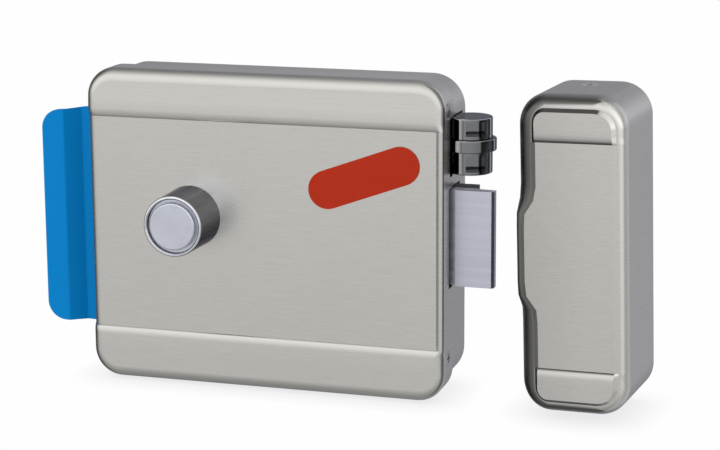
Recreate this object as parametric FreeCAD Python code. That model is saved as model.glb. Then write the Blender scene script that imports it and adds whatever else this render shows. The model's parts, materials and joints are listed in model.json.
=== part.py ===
import FreeCAD, Part
import math
import os

# Electric rim lock: lock case with bolt, cocking latch, push button and solenoid, and its strike box.
# Frame: origin at the middle of the lock's door face, +Z up, the front faces -Y, the bolt points to +X.
# All sizes in millimetres.

V = FreeCAD.Vector
FRONTWARD = V(0, -1, 0)
BACKWARD = V(0, 1, 0)
RIGHTWARD = V(1, 0, 0)
LEFTWARD = V(-1, 0, 0)
UPWARD = V(0, 0, 1)
DOWNWARD = V(0, 0, -1)

# ---- driving dimensions: case -------------------------------------------------------------
LOCK_WIDTH = 122.0
LOCK_HEIGHT = 104.7
FRONT_Y = -29.6                 # front of the two raised bands
BELT_RECESS = 0.9
BELT_TOP_Z = 36.4
BELT_BOTTOM_Z = -34.5
COVER_CORNER = 9.6
COVER_DEPTH = 12.0
COVER_SHEET = 1.2
COVER_FILLET = 3.2

CASE_WIDTH = 121.1
CASE_HEIGHT = 101.7
CASE_CORNER = 10.8
CASE_BACK_FILLET = 0.8
CASE_SHEET = 1.5
LIP_WIDTH = 119.4
LIP_HEIGHT = 100.2
LIP_CORNER = 9.8
LIP_LENGTH = 7.0

COVER_REAR_Y = FRONT_Y + COVER_DEPTH
BELT_Y = FRONT_Y + BELT_RECESS
BELT_INNER_Y = BELT_Y + COVER_SHEET
CASE_FLOOR_Y = -CASE_SHEET

MOUNT_X = 52.0
MOUNT_Z = 42.5
MOUNT_HOLE_RADIUS = 2.3

SIDE_SCREW_Y = -22.8
SIDE_SCREW_TOP_Z = 42.3
SIDE_SCREW_BOTTOM_Z = -38.5
SIDE_SCREW_HEAD = 2.6
M3_RADIUS = 1.5

# ---- driving dimensions: bolt and its guide -----------------------------------------------
BOLT_TRAVEL = 14.5
BOLT_FRONT_Y = -20.5
BOLT_BACK_Y = -9.5
BOLT_TOP_Z = 16.5
BOLT_BOTTOM_Z = -15.0
BOLT_TIP_X = 75.1
BOLT_TAIL_X = 44.0
NOSE_THICKNESS = 3.9
NOSE_START_X = 69.4
STEP_START_X = 67.8
GROOVE_LEFT_X = 58.6
GROOVE_RIGHT_X = 62.4
GROOVE_DEPTH = 1.6
WEDGE_DEPTH = 1.8
BOLT_SLOT_Y = (-22.8, -7.5)
BOLT_SLOT_Z = (-15.6, 17.1)
RUNNING_GAP = 0.1
GUIDE_SHEET = 1.5
GUIDE_SCREW_HEAD = 2.6
GUIDE_LEFT_X = 20.5
GUIDE_RIGHT_X = 56.5
GUIDE_TUBE_X = 34.0
TAIL_SHEET = 1.5
BOLT_SPRING_Y = -15.0
BOLT_SPRING_Z = (BOLT_TOP_Z + BOLT_BOTTOM_Z) / 2
SPRING_ROD_RADIUS = 2.0

# ---- driving dimensions: cocking latch ----------------------------------------------------
LATCH_TRAVEL = 9.0
DRUM_X = 65.6
DRUM_Y = -13.0
DRUM_RADIUS = 7.0
DRUM_TOP_Z = 39.4
DRUM_BOTTOM_Z = 21.2
ROLLER_RADIUS = 8.3
ROLLER_TOP_Z = 32.6
ROLLER_BOTTOM_Z = 28.5
ROLLER_PIN_RADIUS = 1.5
WINDOW_WIDTH = 6.2
WINDOW_DEPTH = 5.0
WINDOW_TURN = 27.0
UPPER_WINDOW_Z = (33.8, 38.4)
LOWER_WINDOW_Z = (22.3, 27.3)
LATCH_OPENING_Y = (-21.7, -4.3)
LATCH_OPENING_Z = (20.7, 39.7)
SHANK_Y = (-18.0, -9.0)
SHANK_Z = (23.5, 37.5)
SHANK_LEFT_X = 30.0
LATCH_GUIDE_LEFT_X = 11.0
LATCH_GUIDE_TUBE_X = 26.5
LATCH_GUIDE_RIGHT_X = 46.0
LATCH_MID_Y = (SHANK_Y[0] + SHANK_Y[1]) / 2
LATCH_MID_Z = (SHANK_Z[0] + SHANK_Z[1]) / 2

# ---- driving dimensions: push button ------------------------------------------------------
BUTTON_X = -24.8
BUTTON_Z = 4.5
BUTTON_TRAVEL = 4.0
COLLAR_RADIUS = 9.95
COLLAR_BASE_RADIUS = 10.3
COLLAR_LENGTH = 16.0
COLLAR_BORE = 8.85
COLLAR_FLOOR_Y = -31.0
COLLAR_THREAD_RADIUS = 7.0
COLLAR_TAIL_Y = -24.9
CAP_RADIUS = 7.8
CAP_SKIRT_RADIUS = 8.8
CAP_PROUD = 0.5
CAP_BACK_Y = -40.7
STEM_RADIUS = 3.0
STEM_TIP_RADIUS = 1.0
STEM_CONE_LENGTH = 4.0
STEM_TIP_Y = -19.9

# ---- driving dimensions: release slide, sear and solenoid ---------------------------------
SLIDE_FRONT_Y = -19.6
SLIDE_SHEET = 1.5
SLIDE_POSTS = ((-12.0, 4.5), (-4.5, 20.0))
SLIDE_TRAVEL = 2.0
SEAR_PIVOT_X = 6.0
SEAR_PIVOT_Z = 44.0
SEAR_PLATE_Y = (-16.0, -14.5)
SEAR_FACE_X = 4.0
SOLENOID_Y = -15.5
SOLENOID_Z = 34.0
SOLENOID_LEFT_X = -44.0
SOLENOID_RIGHT_X = -8.0
SOLENOID_HALF = 9.5
FRAME_SHEET = 2.0
ARMATURE_RADIUS = 4.5
PUSH_ROD_RADIUS = 1.5

# ---- driving dimensions: key cam ----------------------------------------------------------
CAM_ARM = 13.0
CAM_PIN_RADIUS = 1.5
CAM_SWING = 2 * math.asin(BOLT_TRAVEL / 2 / CAM_ARM)
CAM_JOURNAL_RADIUS = 4.0
CAM_BUSH_RADIUS = 6.0
TAIL_Z = (-12.0, -2.0)

# ---- driving dimensions: wiring -----------------------------------------------------------
TERMINAL_BACK_Y = -6.0
TERMINAL_X = (-50.0, -30.0)
TERMINAL_Z = (-32.0, -21.0)
TERMINAL_DEPTH = 8.5
TERMINAL_EAR_WIDTH = 4.6
TERMINAL_EAR_THICKNESS = 2.5
TERMINAL_MOUNT_SPACING = 15.2
TERMINAL_SCREW_SPACING = 6.0
LEAD_RADIUS = 0.75
GROMMET_X = -40.0
GROMMET_Z = -40.0
GROMMET_NECK = 3.6
GROMMET_BORE = 2.4
GROMMET_HEAD = 5.0

# ---- driving dimensions: flange and label -------------------------------------------------
FLANGE_SHEET = 1.5
FLANGE_INNER_Z = (-37.7, 37.2)
FLANGE_OUTER_Z = (-36.8, 35.4)
FLANGE_OUTER_X = -82.2
FLANGE_INNER_Y = -12.2
FLANGE_OUTER_Y = -16.4
FLANGE_CORNER = 6.5
FLANGE_REACH_Z = 40.0            # longer than the strip, which is then trimmed to its outline
FLANGE_TAB_Z = 30.0
FLANGE_SCREW_Z = 22.0
FLANGE_SCREW_Y = -7.5

LABEL_X = 34.5
LABEL_Z = 20.5
LABEL_END_RADIUS = 6.3
LABEL_SPAN = 26.0
LABEL_SHEET = 0.3
LABEL_TILT = 20.0

# ---- driving dimensions: strike -----------------------------------------------------------
STRIKE_WIDTH = 35.6
STRIKE_HEIGHT = 101.2
STRIKE_DEPTH = 34.0
STRIKE_TURN = 5.0
STRIKE_LEAN = 1.5
STRIKE_CORNER_X = 84.8
STRIKE_CORNER_Y = -33.7
STRIKE_CORNER = 10.1
STRIKE_SHEET = 1.5
STRIKE_BASE = 2.0
STRIKE_BELT_TOP_Z = 36.0
STRIKE_BELT_BOTTOM_Z = -35.7
STRIKE_FILLET = 5.0
STRIKE_LIP_Z = (-13.5, 14.5)
STRIKE_LIP_WIDTH = 6.0
STRIKE_MOUTH_Z = (-18.5, 41.5)
STRIKE_MOUTH_Y = (8.0, 31.0)
STRIKE_HOLE_Z = 30.0
STRIKE_TAB_FRONT = 21.0
STRIKE_TAB_HALF_WIDTH = 6.0
STRIKE_TAB_SHEET = 2.0
STRIKE_SCREW_Y = 25.0
KEEPER_X = (4.0, 27.0)
KEEPER_Y = 8.0
KEEPER_Z = (-18.0, 41.0)
KEEPER_SHEET = 2.0


# ---- helpers ------------------------------------------------------------------------------
def block(x_range, y_range, z_range):
    size = [end - start for start, end in (x_range, y_range, z_range)]
    return Part.makeBox(*size, V(x_range[0], y_range[0], z_range[0]))


def rod(radius, start, end):
    direction = end - start
    return Part.makeCylinder(radius, direction.Length, start, direction)


def tube(outer, inner, start, end):
    return rod(outer, start, end).cut(rod(inner, start, end))


def ring_y(radius, y_start, y_end, x, z):
    return rod(radius, V(x, y_start, z), V(x, y_end, z))


def fillet_where(shape, radius, wanted):
    edges = [edge for edge in shape.Edges if wanted(edge.BoundBox)]
    return shape.makeFillet(radius, edges)


def rounded_plate(width, height, corner, y_range, x_mid=0.0, z_mid=0.0):
    """A plate in the XZ plane whose four corners are rounded."""
    x_range = (x_mid - width / 2, x_mid + width / 2)
    z_range = (z_mid - height / 2, z_mid + height / 2)
    plate = block(x_range, y_range, z_range)
    return fillet_where(plate, corner, lambda box: box.XLength + box.ZLength < 0.01)


def outline_plate(points, y_range):
    """A flat plate from (x, z) corner points."""
    corners = [V(x, y_range[0], z) for x, z in points]
    face = Part.Face(Part.makePolygon(corners + corners[:1]))
    return face.extrude(V(0, y_range[1] - y_range[0], 0))


def slot_y(radius, length, y_range, x, z):
    """A cutter: a slot that runs along X, centred at x, z."""
    left = ring_y(radius, y_range[0], y_range[1], x - length / 2, z)
    right = ring_y(radius, y_range[0], y_range[1], x + length / 2, z)
    middle = block((x - length / 2, x + length / 2), y_range, (z - radius, z + radius))
    return left.fuse([middle, right])


def coil_spring(start, end, coil_radius, wire_radius, turns):
    """A helical compression spring between two points on its axis."""
    axis = end - start
    height = axis.Length - 2 * wire_radius
    helix = Part.makeHelix(height / turns, height, coil_radius)
    profile = Part.Wire(Part.makeCircle(wire_radius, V(coil_radius, 0, 0), BACKWARD))
    wire = Part.Wire(helix).makePipeShell([profile], True, True)
    wire.translate(V(0, 0, wire_radius))
    return placed(wire, start, axis)


def placed(shape, point, direction):
    """Move a shape built along +Z so that its origin is at point and +Z runs along direction."""
    moved = shape.copy()
    place = FreeCAD.Placement(point, FreeCAD.Rotation(UPWARD, direction))
    moved.Placement = place.multiply(moved.Placement)
    return moved


def cross_recess(size, width, depth):
    bar = block((-size, size), (-width / 2, width / 2), (-1, depth))
    return bar.fuse(bar.rotated(V(0, 0, 0), UPWARD, 90))


def countersunk_screw(point, direction, head_radius, shank_radius, length):
    """Flat-head screw whose head face is at point and whose tip points along direction."""
    head_depth = head_radius - shank_radius
    head = Part.makeCone(head_radius, shank_radius, head_depth)
    shank = Part.makeCylinder(shank_radius, length)
    screw = head.fuse(shank).cut(cross_recess(head_radius * 0.6, 0.55, head_depth * 0.8))
    return placed(screw, point, direction)


def countersink(point, direction, head_radius, shank_radius, length):
    """The cutter for a countersunk hole."""
    head = Part.makeCone(head_radius, shank_radius, head_radius - shank_radius)
    return placed(head.fuse(Part.makeCylinder(shank_radius, length)), point, direction)


def pan_screw(point, direction, head_radius, head_height, shank_radius, length):
    """Pan-head screw: point is where the underside of the head seats."""
    head = Part.makeCylinder(head_radius, head_height, V(0, 0, -head_height))
    head = fillet_where(head, head_height * 0.45, lambda box: box.ZMax < -head_height + 0.01)
    shank = Part.makeCylinder(shank_radius, length)
    recess = cross_recess(head_radius * 0.6, 0.6, head_height * 0.6 + 1)
    recess.translate(V(0, 0, -head_height - 0.001))
    return placed(head.fuse(shank).cut(recess), point, direction)


def boss(x, z, radius, end_y, hole_radius=M3_RADIUS, hole_depth=4.0):
    """A stud welded to the case's floor, with a threaded hole from its free end."""
    post = ring_y(radius, CASE_FLOOR_Y + 0.2, end_y, x, z)
    return post.cut(ring_y(hole_radius, end_y, end_y + hole_depth, x, z))


# ---- case and cover -----------------------------------------------------------------------
def with_belt(plate_from, belt_z):
    """Two bands at the front plane and, between them, a belt that lies a little further back."""
    slab = block((-200, 200), (-100, 100), belt_z)
    return plate_from(0.0).cut(slab).fuse(plate_from(BELT_RECESS).common(slab)).removeSplitter()


def cover_form(inset, y_end):
    """The cover's outer form, or with an inset its inner form."""
    def plate_from(recess):
        front = FRONT_Y + inset + recess
        size = (LOCK_WIDTH - 2 * inset, LOCK_HEIGHT - 2 * inset)
        plate = rounded_plate(*size, COVER_CORNER - inset, (front, y_end))
        return fillet_where(plate, COVER_FILLET - inset, lambda box: box.YMax < front + 0.01)

    return with_belt(plate_from, (BELT_BOTTOM_Z - inset, BELT_TOP_Z + inset))


def side_openings():
    """Cutter for the bolt slot and the latch opening in the right-hand wall."""
    x_range = (LIP_WIDTH / 2 - 3, LOCK_WIDTH / 2 + 1)
    return block(x_range, BOLT_SLOT_Y, BOLT_SLOT_Z).fuse(block(x_range, LATCH_OPENING_Y, LATCH_OPENING_Z))


def side_screw_places():
    for side in (-1, 1):
        for z in (SIDE_SCREW_TOP_Z, SIDE_SCREW_BOTTOM_Z):
            yield V(side * LOCK_WIDTH / 2, SIDE_SCREW_Y, z), V(-side, 0, 0)


def front_cover():
    cover = cover_form(0.0, COVER_REAR_Y).cut(cover_form(COVER_SHEET, COVER_REAR_Y + 1))
    cover = cover.cut(side_openings())
    cover = cover.cut(ring_y(COLLAR_THREAD_RADIUS, BELT_Y - 1, BELT_INNER_Y + 1, BUTTON_X, BUTTON_Z))
    for point, direction in side_screw_places():
        cover = cover.cut(countersink(point, direction, SIDE_SCREW_HEAD, M3_RADIUS, 3.0))
    return cover


def case_bosses():
    studs = [boss(x, z, 3.5, -6.4) for x, z in bolt_guide_screw_places()]
    studs += [boss(x, z, 3.5, SHANK_Y[1] + RUNNING_GAP + GUIDE_SHEET) for x, z in latch_guide_screw_places()]
    studs += [boss(x, z, 3.5, SOLENOID_Y + SOLENOID_HALF) for x, z in solenoid_screw_places()]
    studs += [boss(x, z, 3.0, TERMINAL_BACK_Y, 1.0, 3.0) for x, z in terminal_mount_places()]
    studs.append(boss(SEAR_PIVOT_X, SEAR_PIVOT_Z, 3.2, SEAR_PLATE_Y[1] + 1.6, M3_RADIUS, 8.0))
    return studs


def rear_case():
    shell = rounded_plate(CASE_WIDTH, CASE_HEIGHT, CASE_CORNER, (COVER_REAR_Y, 0))
    shell = fillet_where(shell, CASE_BACK_FILLET, lambda box: box.YMin > -0.01)
    lip = rounded_plate(LIP_WIDTH, LIP_HEIGHT, LIP_CORNER, (COVER_REAR_Y - LIP_LENGTH, COVER_REAR_Y + 2))
    inside = rounded_plate(CASE_WIDTH - 2 * CASE_SHEET, CASE_HEIGHT - 2 * CASE_SHEET,
                           CASE_CORNER - CASE_SHEET, (COVER_REAR_Y + 2, CASE_FLOOR_Y))
    lip_inside = rounded_plate(LIP_WIDTH - 2 * CASE_SHEET, LIP_HEIGHT - 2 * CASE_SHEET,
                               LIP_CORNER - CASE_SHEET, (COVER_REAR_Y - LIP_LENGTH - 1, COVER_REAR_Y + 2.5))
    case = shell.fuse(lip).cut(inside).cut(lip_inside).cut(side_openings())
    case = case.fuse(case_bosses())
    holes = [ring_y(MOUNT_HOLE_RADIUS, -3, 1, sx * MOUNT_X, sz * MOUNT_Z) for sx in (-1, 1) for sz in (-1, 1)]
    holes.append(ring_y(CAM_BUSH_RADIUS, -3, 1, BUTTON_X, BUTTON_Z))
    holes.append(ring_y(GROMMET_NECK, -3, 1, GROMMET_X, GROMMET_Z))
    for point, direction in side_screw_places():
        holes.append(rod(M3_RADIUS, point, point + direction * 5))
    for point, direction in flange_screw_places():
        holes.append(rod(M3_RADIUS, point, point + direction * 5))
    return case.cut(holes)


def cover_screws():
    places = side_screw_places()
    return [countersunk_screw(p, d, SIDE_SCREW_HEAD, M3_RADIUS, 5.0) for p, d in places]


# ---- pull flange --------------------------------------------------------------------------
def flange_screw_places():
    for z in (-FLANGE_SCREW_Z, FLANGE_SCREW_Z):
        yield V(-CASE_WIDTH / 2 - FLANGE_SHEET, FLANGE_SCREW_Y, z), RIGHTWARD


def pull_flange():
    """Bent sheet: a tab on the case's left wall, a step forward, and a finger strip."""
    sheet = FLANGE_SHEET
    wall_x = -CASE_WIDTH / 2
    points = [(wall_x, -2.5), (wall_x, FLANGE_INNER_Y - sheet), (-69.4, FLANGE_INNER_Y - sheet),
              (-74.4, FLANGE_OUTER_Y - sheet), (FLANGE_OUTER_X, FLANGE_OUTER_Y - sheet),
              (FLANGE_OUTER_X, FLANGE_OUTER_Y), (-73.8, FLANGE_OUTER_Y), (-68.8, FLANGE_INNER_Y),
              (wall_x - sheet, FLANGE_INNER_Y), (wall_x - sheet, -2.5)]
    corners = [V(x, y, -FLANGE_REACH_Z) for x, y in points]
    face = Part.Face(Part.makePolygon(corners + corners[:1]))
    strip = face.extrude(V(0, 0, 2 * FLANGE_REACH_Z))
    bends = (FLANGE_OUTER_X + 1, wall_x - sheet - 1)
    strip = fillet_where(strip, 1.0, lambda box: box.ZLength > FLANGE_REACH_Z and bends[0] < box.XMin < bends[1])
    low, high = zip(FLANGE_INNER_Z, FLANGE_OUTER_Z)
    outline = outline_plate([(wall_x + 2, low[0]), (FLANGE_OUTER_X, low[1]), (FLANGE_OUTER_X, high[1]),
                             (wall_x + 2, high[0])], (-30, 10))
    outline = fillet_where(outline, FLANGE_CORNER,
                           lambda box: box.XLength + box.ZLength < 0.01 and box.XMax < FLANGE_OUTER_X + 1)
    tab_side = block((wall_x - sheet - 0.01, wall_x + 1), (FLANGE_INNER_Y + 0.01, 5), (-60, 60))
    tab_side = tab_side.cut(block((-90, 0), (-30, 10), (-FLANGE_TAB_Z, FLANGE_TAB_Z)))
    flange = strip.common(outline).cut(tab_side)
    for point, direction in flange_screw_places():
        flange = flange.cut(rod(M3_RADIUS, point, point + direction * 3))
    return flange


def flange_screws():
    return [pan_screw(point, direction, 2.8, 1.8, M3_RADIUS, 4.2) for point, direction in flange_screw_places()]


# ---- bolt, tail and guide -----------------------------------------------------------------
def bolt_plan(z_range):
    """The bolt's outline seen from above, with the stepped bevel at the back of the nose."""
    nose_y = BOLT_FRONT_Y + NOSE_THICKNESS
    points = [V(BOLT_TAIL_X, BOLT_FRONT_Y, 0), V(BOLT_TIP_X - 0.8, BOLT_FRONT_Y, 0),
              V(BOLT_TIP_X, BOLT_FRONT_Y + 0.8, 0), V(BOLT_TIP_X, nose_y - 0.6, 0), V(NOSE_START_X, nose_y, 0)]
    edges = [Part.makeLine(a, b) for a, b in zip(points, points[1:])]
    bevel_end = V(STEP_START_X, BOLT_BACK_Y, 0)
    bevel_mid = V(STEP_START_X + 0.5, (nose_y + BOLT_BACK_Y) / 2, 0)
    edges.append(Part.Arc(points[-1], bevel_mid, bevel_end).toShape())
    edges.append(Part.makeLine(bevel_end, V(BOLT_TAIL_X, BOLT_BACK_Y, 0)))
    edges.append(Part.makeLine(V(BOLT_TAIL_X, BOLT_BACK_Y, 0), points[0]))
    face = Part.Face(Part.Wire(edges))
    face.translate(V(0, 0, z_range[0]))
    return face.extrude(V(0, 0, z_range[1] - z_range[0]))


def wedge_plan(z_range, gap=0.0):
    """Pocket for the black slide insert on the bolt's top and bottom, behind the nose plate."""
    front = BOLT_FRONT_Y + NOSE_THICKNESS + 0.6 - gap
    return bolt_plan(z_range).common(block((60.9 - gap, 80), (front, 0), (-60, 60)))


def latch_bolt():
    bolt = bolt_plan((BOLT_BOTTOM_Z, BOLT_TOP_Z))
    groove = block((GROOVE_LEFT_X, GROOVE_RIGHT_X), (BOLT_FRONT_Y - 1, BOLT_FRONT_Y + GROOVE_DEPTH), (-60, 60))
    top = wedge_plan((BOLT_TOP_Z - WEDGE_DEPTH, BOLT_TOP_Z))
    bottom = wedge_plan((BOLT_BOTTOM_Z, BOLT_BOTTOM_Z + WEDGE_DEPTH))
    rod_hole = rod(SPRING_ROD_RADIUS, V(BOLT_TAIL_X - 1, BOLT_SPRING_Y, BOLT_SPRING_Z),
                   V(BOLT_TAIL_X + 8, BOLT_SPRING_Y, BOLT_SPRING_Z))
    bolt = bolt.cut([groove, top, bottom, rod_hole])
    for x, z in tail_rivet_places():
        bolt = bolt.cut(ring_y(1.5, BOLT_BACK_Y - 3, BOLT_BACK_Y + 1, x, z))
    return bolt


def bolt_slide_inserts():
    return [wedge_plan((BOLT_TOP_Z - WEDGE_DEPTH, BOLT_TOP_Z)),
            wedge_plan((BOLT_BOTTOM_Z, BOLT_BOTTOM_Z + WEDGE_DEPTH))]


def tail_rivet_places():
    return ((47.0, -7.0), (53.0, -7.0))


def cam_pin_rest():
    """Rest place of the cam pin: half the swing before the arm hangs straight down."""
    angle = CAM_SWING / 2
    return BUTTON_X + CAM_ARM * math.sin(angle), BUTTON_Z - CAM_ARM * math.cos(angle)


def bolt_tail():
    pin_x, pin_z = cam_pin_rest()
    plate = block((pin_x - 6, 56), (BOLT_BACK_Y, BOLT_BACK_Y + TAIL_SHEET), TAIL_Z)
    low = BUTTON_Z - CAM_ARM
    window = block((pin_x - 1.78, pin_x + 1.78), (-12, 0), (low - 1.8, pin_z + 1.8))
    plate = plate.cut(window)
    for x, z in tail_rivet_places():
        plate = plate.cut(ring_y(1.5, -12, 0, x, z))
    return plate


def tail_rivets():
    y_end = BOLT_BACK_Y + TAIL_SHEET
    return [ring_y(1.5, BOLT_BACK_Y - 3, y_end, x, z) for x, z in tail_rivet_places()]


def spring_rod():
    y, z = BOLT_SPRING_Y, BOLT_SPRING_Z
    return rod(SPRING_ROD_RADIUS, V(18, y, z), V(BOLT_TAIL_X + 8, y, z))


def bolt_spring():
    y, z = BOLT_SPRING_Y, BOLT_SPRING_Z
    start = V(GUIDE_LEFT_X + GUIDE_SHEET, y, z)
    return coil_spring(start, V(BOLT_TAIL_X, y, z), 3.6, 0.5, 6)


def bolt_guide_screw_places():
    return ((27.0, 11.0), (52.0, 11.0), (27.0, -10.5), (52.0, -10.5))


def bolt_guide():
    """Folded sheet channel round the bolt, closed at the front for part of its length."""
    gap = RUNNING_GAP
    sheet = GUIDE_SHEET
    base_y = BOLT_BACK_Y + TAIL_SHEET + gap
    z_out = (BOLT_BOTTOM_Z - gap - sheet, BOLT_TOP_Z + gap + sheet)
    z_in = (BOLT_BOTTOM_Z - gap, BOLT_TOP_Z + gap)
    x_range = (GUIDE_LEFT_X, GUIDE_RIGHT_X)
    outer = block(x_range, (BOLT_FRONT_Y - gap - sheet, base_y + sheet), z_out)
    bore = block((GUIDE_LEFT_X + sheet, GUIDE_RIGHT_X + 1), (BOLT_FRONT_Y - gap, base_y), z_in)
    open_front = block((GUIDE_LEFT_X - 1, GUIDE_TUBE_X), (-40, BOLT_FRONT_Y - gap), (-60, 60))
    tail_way = block((GUIDE_LEFT_X - 1, GUIDE_LEFT_X + 3), (BOLT_BACK_Y - 0.2, base_y), (TAIL_Z[0] - 1, TAIL_Z[1] + 1))
    rod_way = rod(SPRING_ROD_RADIUS + 0.1, V(10, BOLT_SPRING_Y, BOLT_SPRING_Z), V(30, BOLT_SPRING_Y, BOLT_SPRING_Z))
    guide = outer.cut([bore, open_front, tail_way, rod_way])
    for x, z in bolt_guide_screw_places():
        guide = guide.cut(countersink(V(x, base_y, z), BACKWARD, GUIDE_SCREW_HEAD, M3_RADIUS, 3))
    return guide


def guide_screws():
    base_y = BOLT_BACK_Y + TAIL_SHEET + RUNNING_GAP
    screws = [countersunk_screw(V(x, base_y, z), BACKWARD, GUIDE_SCREW_HEAD, M3_RADIUS, 5.0)
              for x, z in bolt_guide_screw_places()]
    back_y = SHANK_Y[1] + RUNNING_GAP
    screws += [countersunk_screw(V(x, back_y, z), BACKWARD, GUIDE_SCREW_HEAD, M3_RADIUS, 5.0)
               for x, z in latch_guide_screw_places()]
    return screws


# ---- cocking latch ------------------------------------------------------------------------
def window_cutter(z_range):
    outer = DRUM_RADIUS + 1
    window = block((-WINDOW_WIDTH / 2, WINDOW_WIDTH / 2), (-outer, -DRUM_RADIUS + WINDOW_DEPTH), z_range)
    window = window.rotated(V(0, 0, 0), UPWARD, WINDOW_TURN)
    window.translate(V(DRUM_X, DRUM_Y, 0))
    return window


def cocking_latch():
    """Square shank ending in a round fork that holds the roller."""
    drum = rod(DRUM_RADIUS, V(DRUM_X, DRUM_Y, DRUM_BOTTOM_Z), V(DRUM_X, DRUM_Y, DRUM_TOP_Z))
    drum = fillet_where(drum, 0.5, lambda box: box.ZLength < 0.01)
    shank = block((SHANK_LEFT_X, DRUM_X), SHANK_Y, SHANK_Z)
    latch = drum.fuse(shank)
    slot_z = (ROLLER_BOTTOM_Z - 0.1, ROLLER_TOP_Z + 0.1)
    roller_way = block((DRUM_X - ROLLER_RADIUS - 0.4, DRUM_X + 20), (-40, 0), slot_z)
    pin_hole = rod(ROLLER_PIN_RADIUS, V(DRUM_X, DRUM_Y, DRUM_BOTTOM_Z - 1), V(DRUM_X, DRUM_Y, DRUM_TOP_Z - 1.2))
    notch = block((SHANK_LEFT_X + 1.4, SHANK_LEFT_X + 5.6), (-40, 0), (SHANK_Z[1] - 1.6, SHANK_Z[1] + 1))
    spring_hole = rod(4.2, V(SHANK_LEFT_X - 1, LATCH_MID_Y, LATCH_MID_Z), V(SHANK_LEFT_X + 8, LATCH_MID_Y, LATCH_MID_Z))
    cutters = [roller_way, pin_hole, notch, spring_hole]
    cutters += [window_cutter(UPPER_WINDOW_Z), window_cutter(LOWER_WINDOW_Z)]
    return latch.cut(cutters)


def cocking_roller():
    start = V(DRUM_X, DRUM_Y, ROLLER_BOTTOM_Z)
    end = V(DRUM_X, DRUM_Y, ROLLER_TOP_Z)
    roller = tube(ROLLER_RADIUS, ROLLER_PIN_RADIUS + 0.05, start, end)
    outer = 2 * ROLLER_RADIUS - 1
    return fillet_where(roller, 0.45, lambda box: box.ZLength < 0.01 and box.XLength > outer)


def roller_pin():
    start = V(DRUM_X, DRUM_Y, DRUM_BOTTOM_Z)
    return rod(ROLLER_PIN_RADIUS, start, V(DRUM_X, DRUM_Y, DRUM_TOP_Z - 1.2))


def latch_guide_screw_places():
    return ((17.0, LATCH_MID_Z), (42.0, LATCH_MID_Z))


def latch_guide():
    gap = RUNNING_GAP
    sheet = GUIDE_SHEET
    x_range = (LATCH_GUIDE_LEFT_X, LATCH_GUIDE_RIGHT_X)
    y_out = (SHANK_Y[0] - gap - sheet, SHANK_Y[1] + gap + sheet)
    z_out = (SHANK_Z[0] - gap - sheet, SHANK_Z[1] + gap + sheet)
    y_in = (SHANK_Y[0] - gap, SHANK_Y[1] + gap)
    z_in = (SHANK_Z[0] - gap, SHANK_Z[1] + gap)
    outer = block(x_range, y_out, z_out)
    bore = block((LATCH_GUIDE_LEFT_X + sheet, LATCH_GUIDE_RIGHT_X + 1), y_in, z_in)
    open_front = block((0, LATCH_GUIDE_TUBE_X), (-40, y_in[0]), (0, 60))
    open_top = block((LATCH_GUIDE_LEFT_X + sheet, LATCH_GUIDE_TUBE_X), (-40, y_in[1]), (z_in[1], 60))
    end_trim = block((0, LATCH_GUIDE_LEFT_X + sheet + 0.01), (-40, 0), (z_in[1], 60))
    guide = outer.cut([bore, open_front, open_top, end_trim])
    for x, z in latch_guide_screw_places():
        guide = guide.cut(countersink(V(x, y_in[1], z), BACKWARD, GUIDE_SCREW_HEAD, M3_RADIUS, 3))
    return guide


def cocking_spring():
    start = V(LATCH_GUIDE_LEFT_X + GUIDE_SHEET, LATCH_MID_Y, LATCH_MID_Z)
    return coil_spring(start, V(SHANK_LEFT_X + 8, LATCH_MID_Y, LATCH_MID_Z), 3.4, 0.5, 10)


# ---- push button --------------------------------------------------------------------------
def collar_front_y():
    return BELT_Y - COLLAR_LENGTH


def button_collar():
    """Sleeve that widens slightly towards the cover, with a threaded tail through it."""
    front = collar_front_y()
    base = V(BUTTON_X, BELT_Y, BUTTON_Z)
    body = Part.makeCone(COLLAR_BASE_RADIUS, COLLAR_RADIUS, COLLAR_LENGTH, base, FRONTWARD)
    body = fillet_where(body, 0.6, lambda box: box.YMax < front + 0.01)
    tail = ring_y(COLLAR_THREAD_RADIUS, BELT_Y, COLLAR_TAIL_Y, BUTTON_X, BUTTON_Z)
    bore = ring_y(COLLAR_BORE, front - 1, COLLAR_FLOOR_Y, BUTTON_X, BUTTON_Z)
    stem_way = ring_y(STEM_RADIUS + 0.05, COLLAR_FLOOR_Y - 1, COLLAR_TAIL_Y + 1, BUTTON_X, BUTTON_Z)
    collar = body.fuse(tail).cut([bore, stem_way])
    rim = 2 * COLLAR_BORE + 0.1
    return collar.makeChamfer(0.35, [edge for edge in collar.Edges
                                     if edge.BoundBox.YMax < front + 0.01 and edge.BoundBox.XLength < rim])


def collar_nut():
    radius = 9.0 / math.cos(math.pi / 6)
    corners = []
    for step in range(6):
        angle = math.radians(60 * step)
        corners.append((BUTTON_X + radius * math.cos(angle), BUTTON_Z + radius * math.sin(angle)))
    nut = outline_plate(corners, (BELT_INNER_Y, BELT_INNER_Y + 2.4))
    return nut.cut(ring_y(COLLAR_THREAD_RADIUS, -40, 0, BUTTON_X, BUTTON_Z))


def button_cap():
    front = collar_front_y() - CAP_PROUD
    disc = ring_y(CAP_RADIUS, front, CAP_BACK_Y, BUTTON_X, BUTTON_Z)
    disc = fillet_where(disc, 0.6, lambda box: box.YMax < front + 0.01)
    skirt = ring_y(CAP_SKIRT_RADIUS, CAP_BACK_Y - 2.2, CAP_BACK_Y, BUTTON_X, BUTTON_Z)
    spigot_hole = ring_y(2.0, CAP_BACK_Y - 2.0, CAP_BACK_Y, BUTTON_X, BUTTON_Z)
    return disc.fuse(skirt).cut(spigot_hole)


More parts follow.
